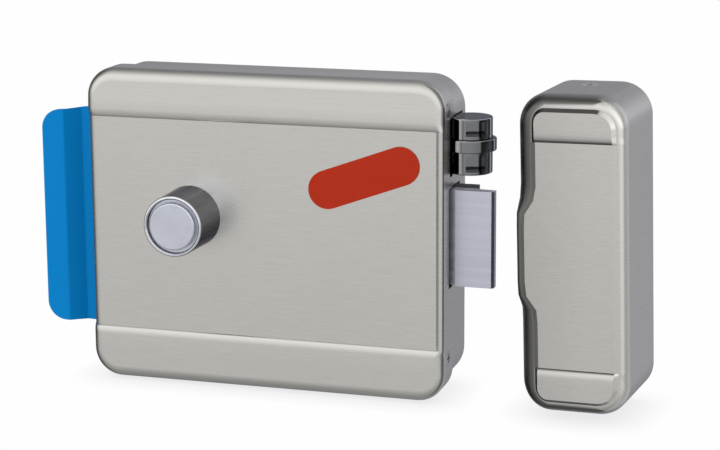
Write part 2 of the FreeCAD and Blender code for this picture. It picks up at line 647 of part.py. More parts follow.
def button_stem():
    cone_start = STEM_TIP_Y - STEM_CONE_LENGTH
    spigot = ring_y(2.0, CAP_BACK_Y - 2.0, CAP_BACK_Y, BUTTON_X, BUTTON_Z)
    shaft = ring_y(STEM_RADIUS, CAP_BACK_Y, cone_start, BUTTON_X, BUTTON_Z)
    start = V(BUTTON_X, cone_start, BUTTON_Z)
    cone = Part.makeCone(STEM_RADIUS, STEM_TIP_RADIUS, STEM_CONE_LENGTH, start, BACKWARD)
    stem = spigot.fuse([shaft, cone])
    groove = ring_y(STEM_RADIUS + 1, -24.8, -24.0, BUTTON_X, BUTTON_Z)
    groove = groove.cut(ring_y(2.3, -24.8, -24.0, BUTTON_X, BUTTON_Z))
    return stem.cut(groove)


def stem_clip():
    clip = ring_y(4.6, -24.8, -24.0, BUTTON_X, BUTTON_Z)
    clip = clip.cut(ring_y(2.3, -25, -23, BUTTON_X, BUTTON_Z))
    mouth = block((BUTTON_X - 1.8, BUTTON_X + 1.8), (-25, -23), (BUTTON_Z - 8, BUTTON_Z))
    return clip.cut(mouth)


def button_spring():
    start = V(BUTTON_X, COLLAR_FLOOR_Y, BUTTON_Z)
    return coil_spring(start, V(BUTTON_X, CAP_BACK_Y, BUTTON_Z), 5.6, 0.45, 5)


# ---- release slide and sear ---------------------------------------------------------------
def release_slide():
    """Flat slide that the button's cone moves towards +X and that pushes the sear's lower arm."""
    tip_x = SEAR_FACE_X - 0.1
    points = [(-33, 0.5), (-1, 0.5), (-1, 33), (tip_x, 33), (tip_x, 35), (-6, 35), (-6, 23.5), (-10, 23.5),
              (-10, 8.5), (-33, 8.5)]
    y_range = (SLIDE_FRONT_Y, SLIDE_FRONT_Y + SLIDE_SHEET)
    plate = outline_plate(points, y_range)
    cut_y = (-30, 0)
    edge = STEM_TIP_RADIUS + 0.1
    end_radius = STEM_RADIUS
    plate = plate.cut(slot_y(end_radius, 1.0, cut_y, BUTTON_X + edge - end_radius - 0.5, BUTTON_Z))
    for x, z in SLIDE_POSTS:
        plate = plate.cut(slot_y(1.55, SLIDE_TRAVEL + 0.2, cut_y, x - SLIDE_TRAVEL / 2, z))
    return plate


def slide_posts():
    """Shouldered posts that guide the slide through its two slots."""
    posts = []
    for x, z in SLIDE_POSTS:
        foot = ring_y(2.6, CASE_FLOOR_Y, SLIDE_FRONT_Y + SLIDE_SHEET + 0.05, x, z)
        neck = ring_y(1.5, CASE_FLOOR_Y, SLIDE_FRONT_Y - 0.05, x, z)
        head = ring_y(2.8, SLIDE_FRONT_Y - 0.05, SLIDE_FRONT_Y - 1.25, x, z)
        posts.append(foot.fuse([neck, head]).removeSplitter())
    return posts


def sear_lever():
    """Bell crank: the lower arm is pushed to +X, and the nose lifts off the latch's notch."""
    x, z = SEAR_PIVOT_X, SEAR_PIVOT_Z
    y_front, y_back = SEAR_PLATE_Y
    hub = ring_y(3.2, y_front - 1.5, y_back + 1.5, x, z)
    arm = outline_plate([(x, z - 2.6), (20, z - 3), (22, 37.7), (25.5, 37.7), (25.5, z - 2), (23, z + 0.4), (x, z + 2.6)],
                        SEAR_PLATE_Y)
    lower = block((SEAR_FACE_X, SEAR_FACE_X + 2.4), SEAR_PLATE_Y, (31.5, z))
    pad = block((SEAR_FACE_X, SEAR_FACE_X + 1.5), (SLIDE_FRONT_Y - 0.3, y_back), (31.5, 36.5))
    lever = hub.fuse([arm, lower, pad])
    return lever.cut(ring_y(M3_RADIUS + 0.05, -30, 0, x, z)).removeSplitter()


def sear_pin():
    x, z = SEAR_PIVOT_X, SEAR_PIVOT_Z
    head_y = SEAR_PLATE_Y[0] - 1.6
    shaft = ring_y(M3_RADIUS, SEAR_PLATE_Y[1] + 9.6, head_y, x, z)
    return shaft.fuse(ring_y(2.8, head_y, head_y - 1.2, x, z))


def sear_spring():
    """Torsion spring wound round the sear's boss, with one leg on the case and one under the arm."""
    x, z = SEAR_PIVOT_X, SEAR_PIVOT_Z
    start = V(x, -4, z)
    return coil_spring(start, V(x, -10, z), 3.9, 0.4, 5)


# ---- solenoid -----------------------------------------------------------------------------
def solenoid_screw_places():
    return ((-36.0, 19.5), (-16.0, 19.5))


def solenoid_frame():
    y_back = SOLENOID_Y + SOLENOID_HALF
    z_range = (SOLENOID_Z - SOLENOID_HALF, SOLENOID_Z + SOLENOID_HALF)
    y_range = (SOLENOID_Y - SOLENOID_HALF, y_back)
    left = block((SOLENOID_LEFT_X, SOLENOID_LEFT_X + FRAME_SHEET), y_range, z_range)
    right = block((SOLENOID_RIGHT_X - FRAME_SHEET, SOLENOID_RIGHT_X), y_range, z_range)
    back_z = (15.5, z_range[1])
    back = block((SOLENOID_LEFT_X, SOLENOID_RIGHT_X), (y_back - FRAME_SHEET, y_back), back_z)
    frame = back.fuse([left, right]).removeSplitter()
    axis_start = V(SOLENOID_LEFT_X - 1, SOLENOID_Y, SOLENOID_Z)
    frame = frame.cut(rod(ARMATURE_RADIUS + 0.1, axis_start, V(-40, SOLENOID_Y, SOLENOID_Z)))
    frame = frame.cut(rod(3.0, V(-12, SOLENOID_Y, SOLENOID_Z), V(-6, SOLENOID_Y, SOLENOID_Z)))
    for x, z in solenoid_screw_places():
        frame = frame.cut(ring_y(M3_RADIUS, -20, 0, x, z))
    return frame


def coil_span():
    return SOLENOID_LEFT_X + FRAME_SHEET, SOLENOID_RIGHT_X - FRAME_SHEET


def solenoid_bobbin():
    left, right = coil_span()
    y, z = SOLENOID_Y, SOLENOID_Z
    barrel = rod(5.3, V(left, y, z), V(right, y, z))
    flanges = [rod(7.4, V(x, y, z), V(x + 1.2, y, z)) for x in (left, right - 1.2)]
    bore = rod(ARMATURE_RADIUS + 0.05, V(left - 1, y, z), V(right + 1, y, z))
    return barrel.fuse(flanges).cut(bore)


def solenoid_winding():
    left, right = coil_span()
    y, z = SOLENOID_Y, SOLENOID_Z
    return tube(7.2, 5.3, V(left + 1.2, y, z), V(right - 1.2, y, z))


def pole_core():
    right = SOLENOID_RIGHT_X - FRAME_SHEET
    y, z = SOLENOID_Y, SOLENOID_Z
    core = rod(ARMATURE_RADIUS + 0.05, V(right - 7, y, z), V(right, y, z))
    stub = rod(3.0, V(right, y, z), V(right + FRAME_SHEET, y, z))
    way = rod(PUSH_ROD_RADIUS + 0.05, V(-30, y, z), V(0, y, z))
    return core.fuse(stub).cut(way)


def armature():
    y, z = SOLENOID_Y, SOLENOID_Z
    plunger = rod(ARMATURE_RADIUS, V(-50, y, z), V(-20, y, z))
    head = rod(6.5, V(-52, y, z), V(-50, y, z))
    rod_hole = rod(PUSH_ROD_RADIUS, V(-26, y, z), V(-19, y, z))
    return plunger.fuse(head).cut(rod_hole)


def push_rod():
    return rod(PUSH_ROD_RADIUS, V(-26, SOLENOID_Y, SOLENOID_Z), V(SEAR_FACE_X - 0.1, SOLENOID_Y, SOLENOID_Z))


def armature_spring():
    y, z = SOLENOID_Y, SOLENOID_Z
    return coil_spring(V(SOLENOID_LEFT_X, y, z), V(-50, y, z), 5.3, 0.4, 3)


def solenoid_screws():
    seat_y = SOLENOID_Y + SOLENOID_HALF - FRAME_SHEET
    return [pan_screw(V(x, seat_y, z), BACKWARD, 2.8, 1.8, M3_RADIUS, 5.0) for x, z in solenoid_screw_places()]


# ---- key cam ------------------------------------------------------------------------------
def cam_bush():
    x, z = BUTTON_X, BUTTON_Z
    barrel = ring_y(CAM_BUSH_RADIUS, CASE_FLOOR_Y, 0, x, z)
    flange = ring_y(8.0, CASE_FLOOR_Y - 1.0, CASE_FLOOR_Y, x, z)
    bore = ring_y(CAM_JOURNAL_RADIUS + 0.05, -5, 1, x, z)
    return barrel.fuse(flange).cut(bore)


def key_cam():
    """Cam turned by the key cylinder's tail bar; its pin runs in the bolt tail's window."""
    x, z = BUTTON_X, BUTTON_Z
    pin_x, pin_z = cam_pin_rest()
    plate_y = (-4.6, -2.6)
    journal = ring_y(CAM_JOURNAL_RADIUS, plate_y[0], -0.4, x, z)
    hub = ring_y(6.5, plate_y[0], plate_y[1], x, z)
    arm = block((-3.2, 3.2), plate_y, (-CAM_ARM, 0))
    arm = arm.fuse(ring_y(3.2, plate_y[0], plate_y[1], 0, -CAM_ARM))
    arm = arm.rotated(V(0, 0, 0), BACKWARD, -math.degrees(CAM_SWING / 2))
    arm.translate(V(x, 0, z))
    pin = ring_y(CAM_PIN_RADIUS, plate_y[0], -10.3, pin_x, pin_z)
    cam = hub.fuse([journal, arm, pin]).removeSplitter()
    tail_slot = block((x - 2.8, x + 2.8), (-3.6, 1), (z - 0.9, z + 0.9))
    return cam.cut([tail_slot, tail_slot.rotated(V(x, 0, z), BACKWARD, 90)])


# ---- wiring -------------------------------------------------------------------------------
def terminal_places(spacing):
    middle_x = sum(TERMINAL_X) / 2
    middle_z = sum(TERMINAL_Z) / 2
    return ((middle_x - spacing / 2, middle_z), (middle_x + spacing / 2, middle_z))


def terminal_mount_places():
    return terminal_places(TERMINAL_MOUNT_SPACING)


def terminal_screw_places():
    return terminal_places(TERMINAL_SCREW_SPACING)


def terminal_block():
    front_y = TERMINAL_BACK_Y - TERMINAL_DEPTH
    body = block(TERMINAL_X, (front_y, TERMINAL_BACK_Y), TERMINAL_Z)
    left, right = TERMINAL_X
    ear_y = (front_y - 1, TERMINAL_BACK_Y - TERMINAL_EAR_THICKNESS)
    body = body.cut(block((left - 1, left + TERMINAL_EAR_WIDTH), ear_y, (-40, 0)))
    body = body.cut(block((right - TERMINAL_EAR_WIDTH, right + 1), ear_y, (-40, 0)))
    for x, z in terminal_mount_places():
        body = body.cut(ring_y(1.0, -20, 0, x, z))
    for x, z in terminal_screw_places():
        body = body.cut(ring_y(1.9, front_y - 1, front_y + 4, x, z))
        body = body.cut(block((x - 1.2, x + 1.2), (front_y + 4, front_y + 6.5), (-40, 0)))
    return body


def terminal_screws():
    front_y = TERMINAL_BACK_Y - TERMINAL_DEPTH
    clamps = [pan_screw(V(x, front_y + 2, z), BACKWARD, 1.8, 1.2, 1.0, 2.0) for x, z in terminal_screw_places()]
    seat_y = TERMINAL_BACK_Y - TERMINAL_EAR_THICKNESS
    clamps += [pan_screw(V(x, seat_y, z), BACKWARD, 1.9, 1.3, 1.0, 5.0) for x, z in terminal_mount_places()]
    return clamps


def coil_leads():
    """Two insulated wires from the winding down to the terminal block."""
    leads = []
    entry_y = TERMINAL_BACK_Y - TERMINAL_DEPTH + 5.2
    for index, (x, z) in enumerate(terminal_screw_places()):
        start_x = -39.0 + 2.4 * index
        bend_x = -47.5 + 2.4 * index
        points = [V(start_x, -23.5, 31), V(start_x, -23.9, 22), V(bend_x, -20, 11), V(bend_x, -13, -3),
                  V(x - 1.5 + index, -10, -14), V(x, entry_y, -22.4)]
        curve = Part.BSplineCurve()
        curve.interpolate(points)
        path = Part.Wire(curve.toShape())
        profile = Part.Wire(Part.makeCircle(LEAD_RADIUS, points[0], curve.tangent(0)[0]))
        leads.append(path.makePipeShell([profile], True, True))
    return leads


def cable_grommet():
    x, z = GROMMET_X, GROMMET_Z
    neck = ring_y(GROMMET_NECK, CASE_FLOOR_Y, 0, x, z)
    inner = ring_y(GROMMET_HEAD, CASE_FLOOR_Y - 1.3, CASE_FLOOR_Y, x, z)
    inner = fillet_where(inner, 0.5, lambda box: box.YMax < CASE_FLOOR_Y - 1.29)
    return neck.fuse(inner).cut(ring_y(GROMMET_BORE, -5, 1, x, z))


def label_plate():
    """Thin plain badge on the belt, a capsule outline tilted up to the right."""
    badge = slot_y(LABEL_END_RADIUS, LABEL_SPAN, (BELT_Y - LABEL_SHEET, BELT_Y), 0, 0)
    badge = badge.removeSplitter().rotated(V(0, 0, 0), FRONTWARD, LABEL_TILT)
    badge.translate(V(LABEL_X, 0, LABEL_Z))
    return badge


# ---- strike -------------------------------------------------------------------------------
def strike_placed(shape):
    """Carry a shape from the strike's own frame (left edge at X 0, front at Y 0) to its place."""
    moved = shape.copy()
    lean = FreeCAD.Placement(V(0, 0, 0), FreeCAD.Rotation(FRONTWARD, STRIKE_LEAN), V(STRIKE_WIDTH / 2, 0, 0))
    turn = FreeCAD.Rotation(UPWARD, -STRIKE_TURN)
    place = FreeCAD.Placement(V(STRIKE_CORNER_X, STRIKE_CORNER_Y, 0), turn)
    moved.Placement = place.multiply(lean).multiply(moved.Placement)
    return moved


def strike_plate(inset, y_range):
    width = STRIKE_WIDTH - 2 * inset
    height = STRIKE_HEIGHT - 2 * inset
    return rounded_plate(width, height, STRIKE_CORNER - inset, y_range, STRIKE_WIDTH / 2)


def strike_form(inset, y_end):
    """The strike box's outer or inner form: on the left the belt has a straight lip."""
    def plate_from(recess):
        front = inset + recess
        plate = strike_plate(inset, (front, y_end))
        return fillet_where(plate, STRIKE_FILLET - inset, lambda box: box.YMax < front + 0.01)

    form = with_belt(plate_from, (STRIKE_BELT_BOTTOM_Z - inset, STRIKE_BELT_TOP_Z + inset))
    lip_z = (STRIKE_LIP_Z[0] + inset, STRIKE_LIP_Z[1] - inset)
    lip = block((inset, STRIKE_LIP_WIDTH), (BELT_RECESS + inset, STRIKE_LIP_WIDTH), lip_z)
    return form.fuse(lip).removeSplitter()


def strike_screw_places():
    middle = STRIKE_WIDTH / 2
    for side in (1, -1):
        yield V(middle, STRIKE_SCREW_Y, side * STRIKE_HEIGHT / 2), V(0, 0, -side)


def strike_box():
    y_end = STRIKE_DEPTH - STRIKE_BASE
    box = strike_form(0.0, y_end).cut(strike_form(STRIKE_SHEET, y_end + 1))
    box = box.cut(block((-1, 3), STRIKE_MOUTH_Y, STRIKE_MOUTH_Z))
    for point, direction in strike_screw_places():
        box = box.cut(countersink(point, direction, SIDE_SCREW_HEAD, M3_RADIUS, 3))
    return strike_placed(box)


def strike_base():
    """Back plate with two upturned tabs that the box is screwed to."""
    y_back = STRIKE_DEPTH
    middle = STRIKE_WIDTH / 2
    plate = strike_plate(0.0, (y_back - STRIKE_BASE, y_back))
    half = STRIKE_HEIGHT / 2 - STRIKE_SHEET - 0.1
    tab_x = (middle - STRIKE_TAB_HALF_WIDTH, middle + STRIKE_TAB_HALF_WIDTH)
    for side in (1, -1):
        z_range = sorted((side * half, side * (half - STRIKE_TAB_SHEET)))
        plate = plate.fuse(block(tab_x, (STRIKE_TAB_FRONT, y_back - STRIKE_BASE), z_range))
    holes = [ring_y(MOUNT_HOLE_RADIUS, 0, 50, middle, side * STRIKE_HOLE_Z) for side in (1, -1)]
    holes += [rod(M3_RADIUS, point, point + direction * 6) for point, direction in strike_screw_places()]
    return strike_placed(plate.removeSplitter().cut(holes))


def strike_keeper():
    """Angle of thick sheet inside the strike that the bolt and the roller bear on."""
    left, right = KEEPER_X
    height = KEEPER_Z[1] - KEEPER_Z[0]
    leaf = block(KEEPER_X, (KEEPER_Y, KEEPER_Y + KEEPER_SHEET), KEEPER_Z)
    leaf = fillet_where(leaf, 0.9, lambda box: box.XMax < left + 0.01 and box.ZLength > height - 1)
    web = block((right - KEEPER_SHEET, right), (KEEPER_Y, STRIKE_DEPTH - STRIKE_BASE), KEEPER_Z)
    return strike_placed(leaf.fuse(web).removeSplitter())


def strike_screws():
    screws = [countersunk_screw(p, d, SIDE_SCREW_HEAD, M3_RADIUS, 5.0) for p, d in strike_screw_places()]
    return [strike_placed(screw) for screw in screws]


# ---- export -------------------------------------------------------------------------------
PARTS = (front_cover, rear_case, cover_screws, pull_flange, flange_screws, latch_bolt, bolt_slide_inserts,
         bolt_tail, tail_rivets, spring_rod, bolt_spring, bolt_guide, guide_screws, cocking_latch,
         cocking_roller, roller_pin, latch_guide, cocking_spring, button_collar, collar_nut, button_cap,
         button_stem, stem_clip, button_spring, release_slide, slide_posts, sear_lever, sear_pin,
         sear_spring, solenoid_frame, solenoid_bobbin, solenoid_winding, pole_core, armature, push_rod,
         armature_spring, solenoid_screws, cam_bush, key_cam, terminal_block, terminal_screws, coil_leads,
         cable_grommet, label_plate, strike_box, strike_base, strike_keeper, strike_screws)


def export_all():
    os.makedirs("parts", exist_ok=True)
    for make in PARTS:
        made = make()
        solids = [solid for piece in (made if isinstance(made, list) else [made]) for solid in piece.Solids]
        shape = solids[0] if len(solids) == 1 else Part.makeCompound(solids)
        shape.exportStep("parts/%s.step" % make.__name__)
        print("%-20s solids %d  volume %.1f  valid %s" % (make.__name__, len(solids), shape.Volume, shape.isValid()))


export_all()
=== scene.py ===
import json
import math

import bmesh
import bpy
from mathutils import Matrix, Vector


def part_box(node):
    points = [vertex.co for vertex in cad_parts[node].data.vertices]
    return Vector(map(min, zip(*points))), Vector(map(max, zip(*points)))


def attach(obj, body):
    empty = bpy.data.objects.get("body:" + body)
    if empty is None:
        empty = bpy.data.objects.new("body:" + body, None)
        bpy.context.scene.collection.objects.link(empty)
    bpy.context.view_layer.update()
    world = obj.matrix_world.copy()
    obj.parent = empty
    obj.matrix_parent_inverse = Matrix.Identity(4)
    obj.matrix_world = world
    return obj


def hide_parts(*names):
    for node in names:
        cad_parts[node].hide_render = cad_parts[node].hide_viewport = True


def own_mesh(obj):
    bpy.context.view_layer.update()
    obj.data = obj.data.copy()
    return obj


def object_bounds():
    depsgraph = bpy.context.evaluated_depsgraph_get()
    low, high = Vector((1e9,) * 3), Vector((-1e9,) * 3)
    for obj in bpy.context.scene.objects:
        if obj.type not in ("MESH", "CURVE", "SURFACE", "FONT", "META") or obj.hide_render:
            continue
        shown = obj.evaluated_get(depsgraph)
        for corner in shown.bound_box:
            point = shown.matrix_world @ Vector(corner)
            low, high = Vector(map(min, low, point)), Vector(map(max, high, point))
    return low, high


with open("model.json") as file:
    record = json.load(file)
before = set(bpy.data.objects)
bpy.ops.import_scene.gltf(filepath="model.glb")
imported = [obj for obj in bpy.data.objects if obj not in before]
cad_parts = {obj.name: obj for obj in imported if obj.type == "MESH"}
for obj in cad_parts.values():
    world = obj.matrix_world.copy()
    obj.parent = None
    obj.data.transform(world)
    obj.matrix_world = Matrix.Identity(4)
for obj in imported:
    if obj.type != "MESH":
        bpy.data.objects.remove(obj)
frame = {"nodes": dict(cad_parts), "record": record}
cad_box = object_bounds()

# Looks for the electric rim lock. The frame is the CAD part's: metres, +Z up, the front faces -Y.
MM = 0.001

# ---- camera: place and angles in metres and radians, fitted to the photograph by another script --
CAMERA_PLACE = (0.22998, -0.65923, 0.15488)
CAMERA_YAW = 0.2919
CAMERA_PITCH = 0.2039
CAMERA_ROLL = -0.0041
CAMERA_LENS = 106.0
CAMERA_SHIFT = (-0.0302, -0.0561)

# ---- stage ---------------------------------------------------------------------------------
FLOOR_GAP = 0.0006
FLOOR_HALF = 6.0
PAPER_GREY = (0.99, 0.99, 0.99)
SHADOW_GREY = (0.78, 0.78, 0.78)
SHADOW_REACH = 0.012
SHADOW_SAMPLES = 16
# soft boxes: name, place and size in metres, power in watts
SOFT_BOXES = (("top_box", (-0.2, -0.2, 1.2), (1.6, 1.6), 10.0),
              ("front_box", (-0.7, -1.1, 0.5), (1.0, 1.0), 4.0))
# the stops of all glow and tone tables were worked out from greys measured in the photograph,
# then adjusted until renders from this one camera came close to it
# brightness of the studio by the angle over the top: 0 front, 90 overhead, 180 behind, -90 below
OVER_GLOW = ((-180, 0.32), (-168, 0.30), (-140, 0.33), (-90, 0.37), (-72, 0.40), (-52, 0.47),
             (-30, 0.65), (-20, 0.70), (-12, 0.785), (-5, 0.95), (2, 1.13), (20, 1.25), (40, 1.27),
             (60, 1.05), (81, 0.67), (106, 0.34), (138, 0.35), (168, 0.44), (180, 0.42))
# factor on it by azimuth: 0 in front, 90 at the right, 180 behind
SIDE_GLOW = ((-180, 1.0), (-163, 1.0), (-140, 0.5), (-120, 0.25), (-107, 0.18), (-95, 0.25),
             (-80, 0.7), (-60, 1.05), (-25, 1.0), (18, 1.0), (60, 0.95), (73, 0.9), (105, 0.9),
             (125, 1.2), (138, 1.8), (145, 2.3), (152, 2.2), (158, 1.4), (163, 1.0), (180, 1.0))
# painted reflection, darker or lighter by its direction: the cover's right edge looks into the gap beside
# the strike; the strike's right edge is in the open
COVER_PAINTED_REFLECTION = ((-180, 1.0), (46, 1.0), (70, 0.55), (110, 0.55), (135, 1.0), (180, 1.0))
STRIKE_PAINTED_REFLECTION = ((-180, 0.9), (-140, 0.3), (-110, 0.22), (-48, 0.22), (-30, 0.32), (-21, 1.0), (0, 1.0),
                (40, 1.3), (70, 1.6), (120, 1.6), (138, 1.2), (150, 1.0), (180, 1.0))
STEEP_FROM, STEEP_TO = 0.6, 0.92
COOL_TINT = (0.985, 1.0, 1.08)
# painted reflection: the chrome's colour is darkened by a factor by azimuth of the reflection, as it shows
# its surroundings darker than the sheet does
CHROME_PAINTED_REFLECTION = ((-180, 0.38), (-163, 0.36), (-120, 0.6), (-60, 0.9), (-25, 1.0), (40, 0.8),
                (100, 0.5), (150, 0.35), (163, 0.28), (180, 0.35))
# the latch stands in the shade between the lock and the strike
SHADED_TONES = ((-180, 0.5), (-163, 0.5), (-110, 0.6), (-85, 1.0), (-45, 1.0), (-28, 0.3),
                (60, 0.25), (95, 0.7), (110, 1.1), (140, 0.6), (155, 0.35), (180, 0.4))

# ---- relief of the materials: heights in metres, strengths as shares ---------------------------
GRAIN_HEIGHT = 0.00004
FINE_HEIGHT = 0.00003
WINDING_HEIGHT = 0.0002
MARKS_STRENGTH = 0.06
WINDING_STRENGTH = 0.7

# ---- grain of the materials: texture scale along X, Y and Z for places in metres ---------------
SHEET_GRAIN = (110.0, 2400.0, 2400.0)
MARKS_GRAIN = (60.0, 1400.0, 1400.0)
COLLAR_GRAIN = (900.0, 60.0, 900.0)
BOLT_GRAIN = (14.0, 1400.0, 700.0)
CAP_GRAIN = (150.0, 150.0, 150.0)
PLATED_GRAIN = (120.0, 120.0, 120.0)
HAZE_GRAIN = (160.0, 160.0, 160.0)
CLOUD_GRAIN = (22.0, 22.0, 22.0)
DRIFT_GRAIN = (30.0, 30.0, 30.0)
WINDING_GRAIN = (700.0, 700.0, 700.0)
PAPER_GRAIN = (3.0, 3.0, 3.0)

# ---- pressed shells, in millimetres ----------------------------------------------------------
COVER_CORNER = 9.6
COVER_SHEET = 1.2
COVER_BELT = (-34.5, 36.4)
COVER_END_FILLET = 4.0
COVER_LEFT_FILLET = 3.7
COVER_BAND_FILLET = 2.2
COVER_BELT_FILLET = 1.1
BELT_RECESS = 0.9
SHOULDER = 2.7
COVER_RIM = 1.2
COVER_BAND_SLOPE = 0.06
COLLAR_HOLE = 7.0
COVER_BOLT_SLOT = ((-22.8, -7.5), (-15.6, 17.1))
COVER_LATCH_OPENING = ((-21.7, -4.3), (20.7, 39.7))
COVER_SCREW_Y = -22.8
COVER_SCREW_LOW_Z = -38.5
COVER_SCREW_HIGH_Z = 42.3
SCREW_HEAD = 2.6
SCREW_SHANK = 1.5
STRIKE_HALF_WIDTH = 17.8
STRIKE_HALF_HEIGHT = 50.6
STRIKE_DEPTH = 34.0
STRIKE_BASE = 2.0
STRIKE_CORNER = 10.1
STRIKE_SHEET = 1.5
STRIKE_BELT = (-35.7, 36.0)
STRIKE_END_FILLET = 3.6
STRIKE_BAND_FILLET = 2.7
STRIKE_BELT_FILLET = 2.4
STRIKE_LEFT_FILLET = 5.6
STRIKE_LIP_FILLET = 1.6
STRIKE_STRETCH = 1.6
STRIKE_EDGE_DEPTH = 1.3
STRIKE_LIP = (-11.4, 12.0)
STRIKE_LIP_END = (-18.5, 20.0)
STRIKE_MOUTH_Y = (8.0, 31.0)
STRIKE_MOUTH_Z = (-18.5, 41.5)
STRIKE_SCREW_BACK = 9.0
CUTTER_START = 0.15
SCREW_DEPTH = 4
# cutters: start before the face and length; into and out of the cover's wall; out of and into the strike's
COLLAR_CUT = (1, 6)
SIDE_CUT = (5, 2)
MOUTH_CUT = (1, 3)
EDGE_RAMP = 1.1
MIN_FILLET = 0.35
SUPPORT = 0.3

SHADED_NODES = ("cocking_latch", "cocking_roller", "roller_pin")

# ---- fineness of the drawn meshes ------------------------------------------------------------
SHOULDER_STEPS = 6
BELT_ROWS = 16
CORNER_STEPS = 14
FILLET_STEPS = 8
RIM_STEPS = 4
CUTTER_SEGMENTS = 48
SHARP_ANGLE = 34.0

# ---- coil springs: node, joint that presses it, end that moves, turns, wire radius -------------
SPRINGS = (("bolt_spring", "bolt_slide", (1, 0, 0), 6.0, 0.5),
           ("cocking_spring", "latch_slide", (1, 0, 0), 9.0, 0.5),
           ("button_spring", "button_press", (0, -1, 0), 4.0, 0.45),
           ("armature_spring", "plunger_travel", (-1, 0, 0), 3.0, 0.4))
COIL_POINTS = 28
WIRE_POINTS = 10


# ---- node helpers --------------------------------------------------------------------------
class Nodes:
    """A material's node tree with short calls for the nodes used here."""

    def __init__(self, name):
        self.material = bpy.data.materials.new(name)
        self.material.use_nodes = True
        self.tree = self.material.node_tree
        self.tree.nodes.clear()
        self.shader = self.add("ShaderNodeBsdfPrincipled")
        output = self.add("ShaderNodeOutputMaterial")
        self.link(self.shader.outputs["BSDF"], output.inputs["Surface"])

    def add(self, kind, **values):
        node = self.tree.nodes.new(kind)
        for key, value in values.items():
            setattr(node, key, value)
        return node

    def link(self, start, end):
        self.tree.links.new(start, end)

    def put(self, socket, value):
        self.shader.inputs[socket].default_value = value

    def coordinates(self, scale):
        place = self.add("ShaderNodeTexCoord")
        mapping = self.add("ShaderNodeMapping")
        mapping.inputs["Scale"].default_value = scale
        self.link(place.outputs["Object"], mapping.inputs["Vector"])
        return mapping.outputs["Vector"]

    def noise(self, scale, detail=3.0, roughness=0.55, distortion=0.0):
        noise = self.add("ShaderNodeTexNoise")
        noise.inputs["Scale"].default_value = 1.0
        noise.inputs["Detail"].default_value = detail
        noise.inputs["Roughness"].default_value = roughness
        noise.inputs["Distortion"].default_value = distortion
        self.link(self.coordinates(scale), noise.inputs["Vector"])
        return noise.outputs["Fac"]

    def spread(self, value, low, high, clamp_from=0.25, clamp_to=0.75):
        """Map a noise value to low..high."""
        reach = self.add("ShaderNodeMapRange")
        reach.inputs["From Min"].default_value = clamp_from
        reach.inputs["From Max"].default_value = clamp_to
        reach.inputs["To Min"].default_value = low
        reach.inputs["To Max"].default_value = high
        self.link(value, reach.inputs["Value"])
        return reach.outputs["Result"]

    def tint(self, factor, first, second):
        return blend_colors(self.tree, factor, first, second)

    def plus(self, first, second):
        node = self.add("ShaderNodeMath", operation="ADD")
        self.link(first, node.inputs[0])
        self.link(second, node.inputs[1])
        return node.outputs[0]

    def bump(self, height, strength, distance):
        bump = self.add("ShaderNodeBump")
        bump.inputs["Strength"].default_value = strength
        bump.inputs["Distance"].default_value = distance
        self.link(height, bump.inputs["Height"])
        self.link(bump.outputs["Normal"], self.shader.inputs["Normal"])

    def paint_reflection_tone(self, color, stops):
        """Painted reflection: colour times a grey that depends on the azimuth that the reflection comes
        from.
        """
        place = self.add("ShaderNodeTexCoord")
        around = turn_share(self.tree, place.outputs["Reflection"], "X")
        return multiply(self.tree, color, ramp(self.tree, around, stops))

    def worn_edges(self, color, worn, share):
        """Lighter colour along convex edges, where paint or plating is rubbed thin."""
        geometry = self.add("ShaderNodeNewGeometry")
        edge = self.spread(geometry.outputs["Pointiness"], 0.0, share, 0.52, 0.60)
        return blend_colors(self.tree, edge, color, worn)


def turn_share(tree, direction, sideways):
    """Angle of a direction from the front, as 0..1 for -180..180 degrees, towards X or Z."""
    split = tree.nodes.new("ShaderNodeSeparateXYZ")
    tree.links.new(direction, split.inputs[0])
    front = tree.nodes.new("ShaderNodeMath")
    front.operation = "MULTIPLY"
    front.inputs[1].default_value = -1.0
    tree.links.new(split.outputs["Y"], front.inputs[0])
    angle = tree.nodes.new("ShaderNodeMath")
    angle.operation = "ARCTAN2"
    tree.links.new(split.outputs[sideways], angle.inputs[0])
    tree.links.new(front.outputs[0], angle.inputs[1])
    turn = tree.nodes.new("ShaderNodeMapRange")
    turn.inputs["From Min"].default_value = -math.pi
    turn.inputs["From Max"].default_value = math.pi
    tree.links.new(angle.outputs[0], turn.inputs["Value"])
    return turn.outputs["Result"]


def ramp(tree, value, stops):
    """Grey by angle: stops are (degrees, grey)."""
    node = tree.nodes.new("ShaderNodeValToRGB")
    elements = node.color_ramp.elements
    for index, (degrees, grey) in enumerate(stops):
        place = (degrees + 180) / 360
        stop = elements[index] if index < 2 else elements.new(place)
        stop.position = place
        stop.color = (grey, grey, grey, 1.0)
    tree.links.new(value, node.inputs[0])
    return node.outputs[0]


def multiply(tree, first, second):
    node = tree.nodes.new("ShaderNodeVectorMath")
    node.operation = "MULTIPLY"
    tree.links.new(first, node.inputs[0])
    tree.links.new(second, node.inputs[1])
    return node.outputs[0]


def blend_colors(tree, factor, first, second):
    """Mix two colours; each is a socket or a plain colour."""
    mix = tree.nodes.new("ShaderNodeMix")
    mix.data_type = "RGBA"
    tree.links.new(factor, mix.inputs[0])
    for socket, value in ((mix.inputs[6], first), (mix.inputs[7], second)):
        if isinstance(value, tuple):
            socket.default_value = (*value, 1.0)
        else:
            tree.links.new(value, socket)
    return mix.outputs[2]


def shade(color, factor):
    return tuple(channel * factor for channel in color)


